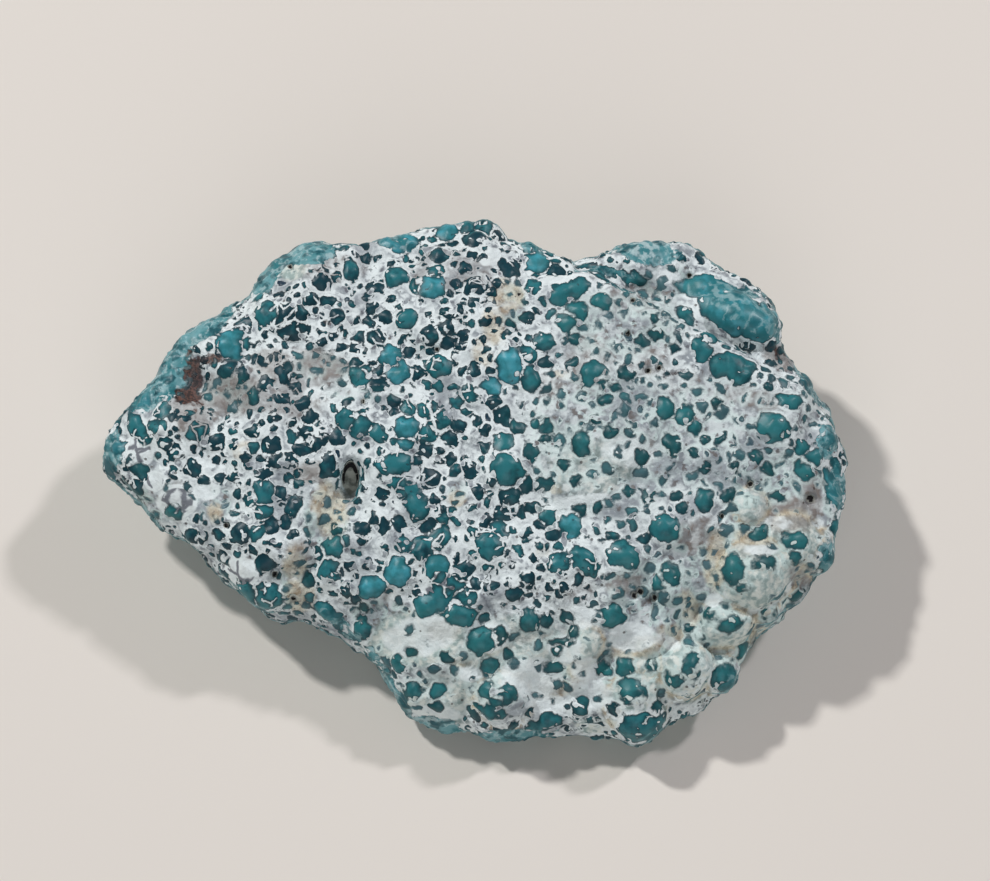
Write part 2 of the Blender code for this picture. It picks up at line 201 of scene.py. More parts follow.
def in_view(past_edge=0.0):
    """1 where the camera sees the surface, fading to 0 at the stone's outline."""
    return ease((toward + past_edge) / 0.2)


points, facing = read_points(stone.data)
toward = facing_the_eye(points, facing)
print("points that face the camera:", int((toward > CLEARLY_SEEN).sum()))

# %% [markdown]
# ## The knobs of turquoise
#
# Turquoise grew here as nodules. They show as rounded or angular knobs, from half a
# millimetre to four across, each parted from its neighbours by a thin web of white clay. The
# larger ones are what the eye remembers, so they are placed one by one. They could also be
# sown at random, but then the stone would not be this stone.
#
# Each row is X, Y and radius. The rows are grouped by how light the turquoise is.

# %% The knobs that stand alone
DARK_KNOBS = (
    (-15.4, 13.2, 1.0), (-14.3, 13.4, 0.7), (-15.0, 12.1, 0.95), (-14.1, 12.1, 0.55),
    (-18.8, 12.6, 0.6), (-18.0, 10.9, 0.4), (-17.4, 9.6, 0.5), (-16.6, 9.7, 0.4), (-16.1, 9.6, 0.6),
    (-19.9, 9.0, 0.8), (-19.0, 8.6, 0.7), (-17.0, 7.7, 0.55), (-17.9, 6.7, 0.5), (-15.8, 6.7, 0.6),
    (-14.5, 8.3, 0.35), (-14.5, 7.3, 0.4), (-13.9, 6.1, 0.55), (-13.4, 5.2, 0.5), (-13.8, 4.1, 0.6),
    (-14.7, 4.5, 0.3), (-12.3, 16.3, 0.75), (-11.2, 16.3, 0.5), (-8.0, 15.5, 0.6),
    (-8.7, 14.7, 0.35), (-6.9, 14.7, 0.3), (-3.1, 18.1, 0.6), (-1.5, 15.8, 0.5), (-2.0, 15.2, 0.3),
    (-0.1, 15.7, 0.85), (-0.9, 17.2, 0.4), (-0.1, 19.6, 0.8), (-11.3, 13.1, 0.5),
    (-12.0, 14.4, 0.5), (-13.1, 14.5, 0.35), (-12.7, 13.5, 0.4), (-9.8, 12.9, 0.35),
    (-8.6, 12.7, 0.45), (-7.3, 13.2, 0.5), (-3.7, 11.6, 0.7), (-2.4, 12.2, 0.6), (-2.1, 11.1, 0.5),
    (-1.4, 13.5, 0.5), (-2.4, 13.4, 0.4), (-1.1, 10.8, 0.4), (-0.9, 11.6, 0.35), (-9.3, 11.5, 0.5),
    (-8.2, 11.4, 0.6), (-7.5, 11.6, 0.35), (-9.7, 10.7, 0.4), (-11.0, 10.6, 0.35),
    (-12.5, 11.1, 0.35), (-9.5, 9.4, 0.4), (-7.7, 7.7, 0.75), (-7.9, 8.6, 0.5), (-5.4, 10.3, 0.4),
    (-4.5, 8.7, 0.55), (-0.1, 8.8, 0.45), (-1.0, 8.8, 0.3), (-6.4, 6.3, 0.4), (-10.3, 6.3, 0.4),
    (-11.2, 3.6, 0.65), (-12.0, 3.9, 0.4), (-6.6, 5.3, 0.3), (-1.4, 4.4, 0.35), (-4.6, 1.7, 0.4),
    (-2.0, 1.7, 0.4), (-12.7, 2.8, 0.55), (-14.1, 2.6, 0.5), (-16.5, 2.8, 0.65), (-18.0, 4.1, 0.45),
    (-16.3, 5.0, 0.45), (-20.8, 3.0, 0.65), (-25.1, 3.0, 0.5), (-24.2, 2.2, 0.6), (-24.4, 5.2, 0.5),
    (-15.1, 1.5, 0.6), (-16.9, 0.7, 0.6), (-15.9, 1.5, 0.5), (-17.2, 1.4, 0.4), (-22.7, 0.9, 0.55),
    (-27.2, 0.5, 0.8), (-28.1, 0.2, 0.7), (-3.7, 0.2, 0.75), (-0.5, 0.7, 0.6), (-2.2, 3.4, 0.65),
    (-4.2, 2.4, 0.6), (1.7, 19.9, 0.7), (2.8, 17.1, 0.8), (6.4, 17.0, 0.6), (0.2, 14.3, 0.6),
    (0.9, 14.1, 0.5), (2.9, 12.4, 0.45), (4.2, 13.0, 0.5), (4.8, 13.7, 0.3), (0.9, 12.8, 0.4),
    (3.4, 11.3, 0.3), (8.2, 11.3, 0.45), (1.2, 8.6, 0.35), (5.8, 9.4, 0.45), (7.9, 9.3, 0.4),
    (12.2, 8.6, 0.5), (11.5, 7.5, 0.4), (10.4, 6.4, 0.5), (14.6, 11.8, 0.6), (13.6, 11.3, 0.4),
    (14.5, 13.0, 0.3), (16.2, 10.5, 0.4), (23.7, 7.5, 0.4), (11.0, 3.9, 0.5), (9.8, 4.9, 0.35),
    (19.4, 6.3, 0.4), (19.9, 3.3, 0.4), (18.5, 3.4, 0.4), (17.6, 2.3, 0.3), (22.6, 1.8, 0.5),
    (20.9, 1.1, 0.4), (18.5, 1.0, 0.4), (23.7, 0.9, 0.5), (5.7, 3.2, 0.3), (2.3, 5.2, 0.65),
    (1.6, 6.2, 0.6), (0.9, 4.0, 0.35), (7.2, 1.3, 0.35), (8.1, 0.0, 0.5), (13.5, 1.8, 0.5),
    (4.0, -0.5, 0.5), (5.4, -0.5, 0.6), (3.6, -2.5, 0.4), (0.8, -3.3, 0.45), (2.8, -1.4, 0.8),
    (4.6, -2.2, 0.4), (8.5, -2.4, 0.5), (9.9, -2.3, 0.35), (12.5, -0.9, 0.35), (14.0, -1.3, 0.55),
    (16.2, -1.5, 0.4), (16.6, -2.3, 0.5), (20.3, -1.1, 0.5), (22.2, -2.1, 0.5), (13.5, -4.7, 0.35),
    (11.1, -4.6, 0.55), (6.3, -4.4, 0.4), (5.2, -3.7, 0.35), (4.1, -4.0, 0.35), (4.2, -8.0, 0.6),
    (1.4, -8.6, 0.45), (2.7, -8.1, 0.35), (3.1, -9.1, 0.6), (7.3, -8.6, 0.45), (6.8, -9.1, 0.35),
    (8.4, -7.9, 0.4), (0.0, -8.4, 0.5), (0.8, -11.0, 0.4), (2.7, -14.0, 0.3), (8.0, -12.2, 0.35),
    (6.6, -13.6, 0.3), (11.2, -18.0, 0.45), (3.4, -17.7, 0.35), (4.4, -18.5, 0.35),
    (2.9, -19.4, 0.5), (17.2, -12.0, 0.35), (23.0, -4.4, 0.6), (25.9, -9.3, 0.55),
    (24.2, -7.6, 0.3), (-22.7, -4.5, 0.6), (-21.9, -4.7, 0.45), (-20.6, -4.5, 0.4),
    (-20.2, -6.3, 0.6), (-20.1, -7.4, 0.6), (-18.9, -4.4, 0.75), (-15.8, -1.1, 0.55),
    (-19.3, -1.1, 0.3), (-16.2, -3.7, 0.65), (-15.3, -3.4, 0.5), (-14.5, -4.4, 0.4),
    (-17.9, -5.6, 0.35), (-16.9, -6.8, 0.7), (-12.6, -5.7, 0.5), (-11.1, -4.1, 0.55),
    (-10.0, -7.0, 0.45), (-10.6, -7.3, 0.35), (-9.6, -7.5, 0.4), (-10.4, -9.0, 0.5),
    (-9.6, -9.5, 0.5), (-9.0, -10.2, 0.35), (-7.5, -0.9, 0.6), (-6.3, -3.4, 0.55),
    (-8.1, -3.2, 0.4), (-7.3, -3.6, 0.45), (-3.4, -1.6, 0.4), (-3.8, -3.8, 0.6), (-4.7, -8.9, 0.35),
    (-5.0, -13.7, 0.5), (-5.9, -17.7, 0.6), (-3.0, -18.1, 0.5), (-0.1, -18.5, 0.5),
    (-2.2, -14.2, 0.35), (-9.3, -3.9, 0.5), (-27.4, -0.6, 0.7), (-13.4, -8.0, 0.5),
)
MIDDLE_KNOBS = (
    (-16.9, 13.4, 1.0), (-18.6, 11.0, 0.8), (-6.4, 16.5, 0.8), (-4.8, 15.7, 0.6), (-3.2, 16.9, 0.6),
    (-0.8, 20.6, 0.8), (-5.7, 13.1, 0.8), (-9.2, 8.3, 0.9), (-2.9, 9.0, 0.85), (-0.2, 7.1, 0.8),
    (-1.6, 6.4, 0.55), (-10.5, 5.0, 0.85), (-9.4, 4.2, 0.85), (-7.8, 3.8, 0.7), (-5.4, 5.6, 0.6),
    (-3.8, 5.7, 0.75), (-2.9, 4.7, 0.85), (-3.8, 3.7, 0.8), (-22.4, 3.9, 0.75), (-25.1, 5.4, 0.7),
    (-25.7, 4.1, 0.7), (0.9, 20.5, 0.9), (4.5, 19.0, 1.1), (3.4, 20.0, 0.7), (5.7, 18.6, 0.7),
    (4.6, 15.6, 0.6), (10.2, 14.4, 0.7), (8.3, 13.7, 0.85), (7.5, 12.9, 0.75), (5.6, 11.2, 0.65),
    (4.3, 10.1, 0.7), (9.5, 8.6, 1.05), (10.2, 8.0, 0.6), (18.2, 10.6, 0.9), (18.9, 11.5, 0.75),
    (0.0, 7.3, 0.6), (15.3, 5.8, 0.75), (17.1, 5.2, 0.8), (17.7, 4.3, 0.6), (5.1, 4.5, 0.5),
    (5.8, 4.3, 0.45), (2.3, 3.2, 0.7), (1.9, -4.1, 0.7), (1.2, -5.2, 1.05), (5.8, -2.7, 0.7),
    (15.2, -3.9, 1.1), (6.7, -6.6, 0.85), (6.7, -5.5, 0.5), (14.7, -8.2, 0.55), (11.1, -10.9, 0.9),
    (0.6, -12.9, 1.05), (12.5, -17.0, 1.05), (14.4, -18.3, 0.8), (25.7, -5.0, 0.9),
    (25.6, -5.9, 0.6), (23.5, -10.5, 0.6), (21.5, -8.4, 0.5), (19.1, -10.9, 0.6),
    (16.2, -15.7, 0.7), (1.3, -14.9, 0.75), (10.3, -15.0, 0.5), (14.0, -14.8, 0.5),
    (28.9, -4.0, 0.5), (26.7, 0.9, 0.8), (28.9, 0.9, 0.7), (26.5, 2.6, 0.6), (28.7, 3.1, 0.8),
    (27.1, 8.1, 0.6), (-17.2, -1.1, 1.0), (-17.0, -2.3, 0.7), (-17.9, -1.6, 0.6),
    (-11.5, -5.3, 0.85), (-11.7, -7.3, 0.8), (-18.3, -9.1, 1.2), (-16.8, -9.5, 1.3),
    (-6.1, -14.7, 0.6), (-3.0, -16.8, 0.6), (-5.8, -5.1, 0.65), (-7.6, 0.4, 0.6),
    (-24.3, -2.6, 0.7),
)
LIGHT_KNOBS = (
    (-19.6, 11.1, 1.25), (-3.5, 15.7, 1.0), (-6.9, 10.0, 0.85), (-6.2, 8.8, 0.9), (-5.4, 4.1, 0.95),
    (-5.6, 3.0, 0.65), (-28.9, 2.5, 0.6), (-8.4, -8.6, 0.95), (-6.3, -7.3, 1.05), (1.3, 7.7, 0.7),
    (-26.8, 6.4, 0.7), (7.7, -3.9, 0.85), (5.0, 17.6, 0.95), (-2.1, 20.2, 0.9), (-5.6, 19.3, 0.75),
)
print(len(DARK_KNOBS) + len(MIDDLE_KNOBS) + len(LIGHT_KNOBS), "single knobs")

# %% [markdown]
# Some knobs are long, curved or lobed. A lobed one is several ovals that run into each other
# with no web between them.
#
# Each row is how light the knob is, then its ovals: X, Y, half length, half width and turn
# in degrees.

# %% The long and lobed knobs
LOBED_KNOBS = (
    (0.30, (-10.1, 17.1, 1.0, 0.55, 100)),
    (0.95, (-6.7, 19.2, 1.4, 0.65, -30)),
    (0.15, (-15.6, 8.8, 1.0, 0.55, 100)),
    (0.50, (-27.4, 4.3, 1.2, 0.65, 125), (-26.7, 3.2, 0.6, 0.5, 0)),
    (0.15, (-11.8, 1.2, 1.15, 0.6, 100), (-11.2, 0.6, 0.5, 0.4, 0)),
    (0.60, (-7.3, 0.9, 1.1, 0.8, 80), (-6.1, 1.2, 1.2, 0.75, 20)),
    (0.45, (-6.6, -0.3, 1.0, 0.65, 0), (-5.5, -0.7, 0.9, 0.75, 0), (-4.9, -1.8, 0.95, 0.75, 90),
     (-4.6, -2.7, 0.7, 0.65, 0)),
    (0.40, (-4.3, -5.3, 0.95, 0.75, 40), (-3.1, -4.6, 0.95, 0.75, 20)),
    (0.66, (-3.1, -7.2, 1.0, 1.05, 0), (-2.0, -8.3, 1.2, 1.0, 0), (-2.6, -9.4, 1.1, 1.0, 0),
     (-3.9, -10.0, 0.95, 0.85, 0)),
    (0.55, (-1.5, -10.6, 1.15, 0.9, 0), (-0.8, -10.8, 0.85, 0.8, 0)),
    (0.45, (-0.7, -9.2, 0.8, 0.8, 0)),
    (0.35, (-1.2, -7.5, 0.7, 0.6, 30), (-0.7, -7.1, 0.6, 0.5, 0)),
    (0.70, (-11.8, -10.6, 1.15, 0.7, -50)),
    (0.45, (-9.2, -11.9, 0.95, 0.6, 90)),
    (0.35, (-4.9, -16.8, 0.85, 0.55, 10)),
    (0.15, (-14.6, -2.2, 0.8, 0.5, 80)),
    (0.55, (7.0, 15.0, 1.1, 0.75, 15), (8.2, 15.5, 1.1, 0.7, 30)),
    (0.45, (10.0, 16.5, 1.1, 0.6, -35)),
    (0.40, (11.6, 16.7, 0.9, 0.5, -15), (12.9, 16.2, 0.9, 0.55, -25)),
    (0.25, (8.9, 17.2, 0.9, 0.35, -10)),
    (0.75, (18.8, 15.4, 2.4, 1.0, -10), (21.0, 14.0, 3.2, 1.7, -28), (23.2, 12.8, 1.7, 1.6, 0)),
    (0.35, (17.0, 13.3, 0.95, 0.5, -50)),
    (0.97, (2.8, 9.6, 1.0, 1.0, 0), (2.9, 8.7, 0.95, 1.0, 0)),
    (0.35, (4.6, 8.0, 0.75, 1.05, 0)),
    (0.40, (19.8, 9.2, 0.8, 0.85, 0), (21.0, 9.3, 1.1, 0.95, 0), (21.3, 8.3, 0.9, 0.7, 0),
     (22.1, 9.1, 0.6, 0.7, 0)),
    (0.60, (24.2, 4.1, 1.4, 1.1, -10)),
    (0.55, (25.5, 6.3, 1.15, 0.6, 0)),
    (0.55, (27.3, 1.7, 0.95, 0.6, 30)),
    (0.25, (15.9, 2.8, 0.95, 0.5, 110)),
    (0.30, (8.5, 2.9, 0.95, 0.65, 95)),
    (0.20, (4.6, 2.2, 0.75, 0.4, 100)),
    (0.25, (3.3, 4.3, 0.7, 0.45, 110)),
    (0.50, (2.5, 1.1, 1.25, 1.15, 0), (2.9, 0.2, 1.1, 0.8, 0)),
    (0.20, (2.3, -2.7, 0.85, 0.5, 20)),
    (0.35, (18.4, -1.6, 1.0, 0.6, 100)),
    (0.15, (24.2, -1.3, 0.6, 0.3, 0)),
    (0.55, (11.9, -5.9, 1.2, 1.0, 0), (12.5, -6.3, 0.7, 0.7, 0)),
    (0.60, (8.9, -6.5, 1.4, 0.72, -50)),
    (0.40, (15.9, -7.5, 0.75, 0.95, 0)),
    (0.40, (4.4, -11.2, 0.7, 0.9, 0)),
    (0.20, (5.7, -11.3, 0.35, 0.65, 0)),
    (0.20, (7.4, -11.0, 0.7, 0.35, -60)),
    (0.15, (2.1, -12.5, 0.35, 0.65, 0)),
    (0.10, (6.9, -12.9, 0.9, 0.25, 0)),
    (0.20, (6.4, -14.8, 0.7, 0.35, 10)),
    (0.35, (12.0, -14.8, 0.55, 0.85, 0)),
    (0.45, (17.2, -14.8, 0.8, 1.0, 0)),
    (0.40, (20.5, -11.4, 1.1, 0.5, 5)),
    (0.40, (21.5, -13.7, 0.7, 0.4, 80)),
    (0.50, (19.9, -15.7, 1.05, 1.25, 0)),
    (0.40, (20.9, -7.3, 0.8, 1.2, 0)),
    (0.35, (23.1, -6.7, 1.1, 0.6, -10)),
    (0.45, (28.0, -6.3, 0.7, 1.05, 0)),
    (0.80, (28.9, -1.1, 0.7, 1.6, 0), (28.6, 0.5, 0.6, 0.9, 0)),
    (0.45, (1.1, -16.6, 0.7, 0.65, 0), (2.4, -17.0, 0.8, 0.7, 0), (1.5, -18.3, 0.85, 0.7, 0),
     (0.3, -18.0, 0.5, 0.3, 0), (2.9, -18.4, 0.4, 0.4, 0), (1.7, -17.5, 0.6, 0.6, 0)),
    (0.45, (5.9, -19.3, 0.9, 0.65, 20), (4.8, -19.6, 0.6, 0.5, 0)),
    (0.45, (13.1, -19.8, 1.7, 1.5, 0), (14.3, -19.5, 1.2, 1.5, 0)),
    (0.30, (8.4, -18.1, 0.45, 0.8, 0)),
)
print(len(LOBED_KNOBS), "long or lobed knobs")

# %% [markdown]
# ## Painting by numbers on the points
#
# Colour changes over the stone: a crisp web here, muted mottling there, rusty and sandy
# stains, a smooth rind on the rims. Each of these is one number per point, an attribute that
# the material reads. Attributes were chosen over image textures, because they need no files
# and no unwrapping.
#
# Each list has ovals as X, Y, half length, half width, turn in degrees and strength.

# %% Where each kind of ground lies


def how_near(places_seen, x, y, half_x, half_y, turn=0.0):
    """1 in the middle of an oval, 0 on its edge, less outside, as it appears."""
    offset_x, offset_y = places_seen[:, 0] - x, places_seen[:, 1] - y
    along = offset_x * cos(turn) + offset_y * sin(turn)
    across = offset_y * cos(turn) - offset_x * sin(turn)
    return 1.0 - np.hypot(along / half_x, across / half_y)


MUTED = (
    (11.0, 3.0, 9.5, 8.0, 0, 0.75), (12.0, 12.5, 7.0, 4.0, 0, 0.75), (19.5, 3.5, 8.0, 7.0, 0, 0.7),
    (24.5, -2.0, 5.5, 5.5, 0, 1.0), (22.0, -9.5, 7.0, 7.5, 0, 1.1), (11.5, -14.0, 9.0, 4.5, 0, 1.0),
    (-4.5, -12.6, 4.6, 2.6, 10, 1.1), (-3.0, -17.0, 5.0, 2.8, 0, 0.7),
    (14.5, -9.5, 5.0, 4.5, 0, 0.9), (5.5, -14.0, 5.0, 3.0, 0, 0.8), (-19.8, 7.0, 2.6, 1.8, 0, 0.9),
    (-12.4, 9.0, 3.0, 1.6, -10, 0.8), (-12.0, -2.9, 2.2, 3.2, 0, 1.0),
    (-25.0, -1.8, 2.8, 1.8, 0, 1.1), (-18.7, -7.2, 1.4, 1.2, 0, 1.2),
    (-21.0, -1.8, 1.8, 1.7, 0, 1.0), (-14.4, -8.0, 1.5, 3.0, 0, 0.9),
    (-7.5, -10.8, 3.0, 1.6, 0, 1.0), (-26.8, 1.8, 1.3, 1.4, 0, 1.0), (15.5, 16.0, 3.0, 1.6, 0, 0.9),
    (3.0, 14.2, 1.4, 2.2, 0, 0.9), (-9.0, 6.9, 4.0, 0.6, 0, 0.8), (-14.9, 17.3, 1.5, 1.3, 0, 1.0),
    (2.5, -14.5, 7.0, 5.0, 0, 0.8), (17.6, -4.8, 2.4, 2.0, 0, 0.9), (11.8, -8.2, 1.6, 1.1, 0, 0.9),
    (-1.4, -0.9, 1.2, 1.2, 0, 0.7), (26.5, 6.0, 2.5, 3.4, 0, 0.6),
)
WHITE = (
    (-2.8, -8.4, 1.7, 1.6, 0, 1.4), (12.6, -12.5, 2.2, 1.4, 0, 0.9), (9.2, -15.2, 1.8, 1.3, 0, 0.8),
    (12.6, 2.4, 3.2, 2.0, 0, 0.55), (-0.6, -4.6, 1.8, 1.5, 0, 0.55), (-5.6, -9.2, 1.6, 1.0, 0, 0.6),
    (-2.4, 10.3, 2.0, 0.9, 0, 0.55), (8.5, -10.8, 2.4, 1.3, 0, 0.7), (2.5, -10.0, 1.6, 0.9, 0, 0.6),
    (9.6, -17.2, 1.8, 1.4, 0, 0.7), (-24.0, -1.7, 1.7, 1.4, 0, 1.5),
    (-21.7, -0.9, 1.3, 0.9, 0, 0.9), (-18.8, -7.4, 1.5, 1.3, 0, 1.5),
    (-27.1, 2.4, 1.3, 1.4, 0, 1.4), (-21.9, 1.6, 1.6, 0.8, 35, 0.9),
    (-25.8, -0.1, 1.0, 0.9, 0, 1.3), (-9.6, 7.0, 3.6, 0.6, 0, 0.5),
    (-5.0, -12.5, 3.6, 1.6, 20, 0.4), (-4.4, -12.4, 3.8, 2.0, 12, 0.8),
    (1.0, -12.4, 2.6, 1.6, 0, 0.7), (4.6, -15.8, 3.0, 2.0, 0, 0.8), (-3.4, -18.6, 2.6, 0.8, 0, 0.9),
    (7.2, -13.4, 1.8, 1.4, 0, 0.7), (8.2, -1.7, 3.0, 0.6, 10, 0.8), (1.2, 18.0, 1.2, 0.9, 0, 0.9),
    (15.5, 16.4, 1.6, 0.8, 0, 0.7), (7.0, 16.2, 3.0, 0.4, 8, 0.9), (13.8, 18.6, 2.0, 0.9, -10, 0.9),
    (20.3, 14.8, 2.4, 0.6, -28, 0.8), (24.5, -3.4, 1.6, 0.7, -10, 0.6),
    (22.9, -5.6, 1.9, 0.6, 0, 0.5), (19.2, -9.6, 1.1, 0.7, 10, 0.7), (8.4, -16.8, 1.2, 1.0, 0, 0.7),
    (6.0, -17.9, 2.4, 0.9, 0, 0.8), (-0.6, -15.4, 1.8, 0.8, 0, 0.6),
    (15.4, -12.9, 1.6, 0.7, -20, 0.6), (-12.8, 6.9, 1.6, 0.9, 0, 0.6),
    (-3.6, 13.5, 1.4, 0.8, 0, 0.5), (-5.9, 7.3, 3.0, 0.5, 0, 0.8),
)
COAT = (
    (22.2, -7.5, 3.6, 3.3, 0, 1.0), (25.6, -4.6, 2.6, 2.6, 0, 0.8), (20.6, -12.0, 3.4, 1.9, 0, 0.9),
    (17.2, -15.4, 2.8, 2.8, 0, 0.9), (12.9, -17.6, 3.2, 2.9, 0, 0.8),
    (8.8, -13.0, 1.7, 1.7, 0, 0.8), (-4.5, -12.6, 4.6, 2.6, 10, 1.2), (9.5, 1.0, 5.0, 3.0, 10, 0.6),
    (3.0, -13.8, 6.0, 3.6, 0, 0.7), (22.2, -2.1, 1.7, 1.6, 0, 0.7), (27.9, -6.0, 1.7, 2.4, 0, 0.6),
    (-2.5, -17.5, 4.5, 2.4, 0, 0.7), (-14.9, 17.3, 1.5, 1.4, 0, 0.9),
    (14.0, -14.9, 2.0, 1.6, 0, 0.8), (10.0, -19.6, 2.4, 0.9, 0, 0.8), (6.0, -2.6, 2.0, 1.6, 0, 0.5),
)
SAND = (
    (-2.6, -12.0, 1.8, 1.0, 0, 0.7), (6.4, -16.6, 1.8, 1.0, 0, 0.7), (1.6, -13.2, 1.4, 0.9, 0, 0.5),
    (2.5, 14.8, 1.6, 1.7, 0, 0.75), (1.6, 12.4, 1.1, 2.4, 10, 0.7), (0.7, 10.3, 1.2, 1.3, 0, 0.6),
    (-11.8, -2.3, 1.6, 2.4, 10, 0.9), (-14.2, -9.2, 1.4, 1.8, 0, 0.8),
    (19.4, -6.6, 1.1, 2.8, 0, 0.8), (17.2, -10.2, 0.9, 1.7, 20, 0.8),
    (13.2, -13.3, 2.9, 1.0, 10, 0.7), (8.4, -15.4, 1.2, 1.1, 0, 0.8),
    (-14.5, -6.6, 1.1, 1.9, 0, 0.7), (-1.0, -14.5, 1.0, 0.7, 0, 0.6), (5.4, -5.7, 0.8, 0.6, 0, 0.5),
    (22.3, -4.6, 1.7, 0.7, -10, 0.7), (15.6, -12.4, 1.2, 1.2, 0, 0.6),
    (-1.4, -1.5, 0.9, 0.8, 0, 0.8), (-18.6, 2.4, 1.4, 0.8, 20, 0.5), (7.0, 8.5, 1.3, 0.5, 0, 0.5),
    (6.4, -0.7, 1.2, 0.5, 0, 0.4), (-21.0, -2.5, 0.7, 1.1, 0, 0.6),
)
# Dun patches: a brownish grey stain, which over the broad hollows at the upper left and in the
# crease at the upper right is painted shade.
DUN_AND_SHADE = (
    (-19.6, 7.0, 3.2, 2.2, 0, 0.9), (-12.5, 9.4, 3.0, 1.5, -15, 0.8),
    (-13.2, 0.6, 1.8, 1.1, 0, 0.9), (-10.0, -1.6, 0.7, 1.4, 0, 0.8),
    (-20.9, -2.7, 0.8, 1.2, 0, 0.7), (18.2, -4.4, 2.4, 2.0, 0, 0.6),
    (24.6, 9.9, 1.6, 1.1, -30, 1.0), (12.0, -8.3, 1.9, 1.1, 10, 0.7),
    (27.0, -1.6, 1.3, 2.2, 0, 0.7), (26.4, -7.6, 1.3, 1.0, 0, 0.8), (-6.8, -8.9, 1.2, 1.0, 0, 0.6),
    (12.5, 14.5, 2.6, 1.6, 0, 0.5), (21.0, 7.0, 2.4, 1.2, 0, 0.5), (-14.0, -5.8, 1.0, 1.4, 0, 0.7),
    (4.5, -12.4, 2.4, 0.8, 0, 0.5), (14.6, 15.1, 2.2, 0.6, -30, 0.6), (14.0, 9.5, 2.6, 1.8, 0, 0.5),
    (8.5, -9.0, 1.6, 1.2, 0, 0.5), (-24.0, -0.8, 0.9, 0.9, 0, 0.7), (-15.0, 7.5, 4.0, 3.6, 0, 0.6),
    (-2.0, 17.0, 5.0, 2.2, 0, 0.5), (-22.8, 5.4, 2.4, 2.6, 0, 0.8), (-16.5, 9.4, 2.2, 1.5, 0, 0.8),
    (-11.5, 17.0, 3.2, 1.5, 0, 0.6), (9.2, 9.5, 2.6, 3.0, 0, 0.55), (6.0, 7.6, 1.6, 1.6, 0, 0.5),
    (22.4, -5.4, 2.6, 1.3, 0, 0.5), (25.4, -2.9, 2.2, 2.0, 0, 0.8), (23.4, 6.4, 2.6, 1.2, 0, 0.55),
    (23.0, -13.0, 1.2, 1.0, 0, 0.7), (16.5, 8.0, 3.0, 1.5, 0, 0.4),
)
RUST = (
    (-22.8, 8.4, 0.8, 2.0, 10, 1.0), (-23.2, 6.8, 1.3, 0.8, 0, 1.0), (-21.4, 9.7, 1.3, 0.5, 0, 0.7),
    (-12.2, 12.7, 0.8, 0.4, 0, 0.4), (-22.6, 5.9, 0.9, 0.5, 0, 0.6), (-19.8, 8.6, 0.9, 0.5, 0, 0.4),
    (24.3, 10.3, 1.1, 0.7, -30, 0.4),
)
RIND = (
    (-22.4, 12.2, 3.6, 1.1, 33, 1.2), (-24.7, 8.8, 2.0, 2.7, -25, 1.1),
    (-17.1, 16.8, 1.4, 2.2, -25, 1.2), (-13.6, 18.3, 2.6, 1.1, 8, 1.1),
    (-26.6, 6.6, 1.7, 1.2, 35, 1.0), (-6.7, 19.3, 2.0, 0.8, -15, 0.8),
    (-29.3, 2.3, 0.9, 2.2, 0, 0.8), (-7.6, -15.2, 0.7, 2.6, 30, 0.7),
    (2.6, -20.7, 4.4, 0.9, 2, 1.1), (-27.6, -2.2, 3.8, 0.8, -44, 1.2),
    (-6.7, -17.5, 3.2, 1.0, -55, 1.2), (-2.8, -20.0, 3.0, 1.1, -20, 1.2),
    (29.2, -0.6, 0.8, 2.3, 0, 0.9), (28.3, -6.2, 0.9, 1.6, 0, 0.7), (20.9, -16.2, 1.1, 1.4, 0, 0.7),
    (14.1, 18.4, 2.7, 1.2, -8, 1.1), (21.6, 14.0, 4.0, 1.9, -28, 0.6),
    (24.3, 12.4, 0.9, 1.8, 0, 0.7), (12.9, 19.0, 2.0, 0.8, 10, 0.8),
    (4.7, 18.9, 1.5, 0.9, -35, 0.7), (28.4, 3.2, 1.0, 1.8, 0, 0.8),
    (-10.7, -11.6, 2.5, 0.6, -40, 0.7), (27.3, 7.5, 0.7, 2.6, 30, 0.7),
    (11.0, 16.8, 2.9, 0.4, -12, 0.6),
)
for title, rows in (("muted", MUTED), ("coat", COAT), ("sand", SAND), ("rind", RIND)):
    print(title, "patches:", len(rows))

# %% [markdown]
# ## Placing the listed knobs
#
# The lists say where each knob appears, and the knob itself lies on the curved surface. For
# each row the nearest surface point is looked up, and the oval is laid flat on the surface
# there. Dropping a ray from the camera would find the same point, but a search tree over the
# points answers all the rows at once.

# %% Give every knob its middle on the surface
MARGIN = 0.17               # the angular outlines eat this much of each knob


def make_oval(index, half_length, half_width, turn):
    """An oval on the surface: its middle, three axes and its two half sizes."""
    up = facing[index]
    along = np.array((cos(turn), sin(turn), RIM_SLOPE * sin(turn)))
    along = along - up * (along @ up)
    along /= np.linalg.norm(along)
    return points[index], along, np.cross(up, along), up, half_length, half_width


seen = seen_at(points)
front = np.nonzero(toward > CLEARLY_SEEN)[0]
plan = kdtree.KDTree(len(front))
for order, index in enumerate(front):
    plan.insert((seen[index, 0], seen[index, 1], 0.0), order)
plan.balance()


def surface_under(x, y):
    """The point of the surface that appears at X, Y."""
    return front[plan.find((x, y, 0.0))[1]]


def grown(radius):
    """The radius that still looks as large as listed once its outline is angular."""
    return radius + MARGIN


knobs = []
for light, rows in ((0.15, DARK_KNOBS), (0.5, MIDDLE_KNOBS), (0.85, LIGHT_KNOBS)):
    for x, y, radius in rows:
        radius = grown(radius)
        knobs.append((light, 0.0, [make_oval(surface_under(x, y), radius, radius, 0.0)]))
for light, *ovals in LOBED_KNOBS:
    shapes = [
        make_oval(surface_under(x, y), grown(length), grown(width), radians(turn))
        for x, y, length, width, turn in ovals
    ]
    knobs.append((light, 0.0, shapes))
placed = len(knobs)
print(placed, "knobs placed")

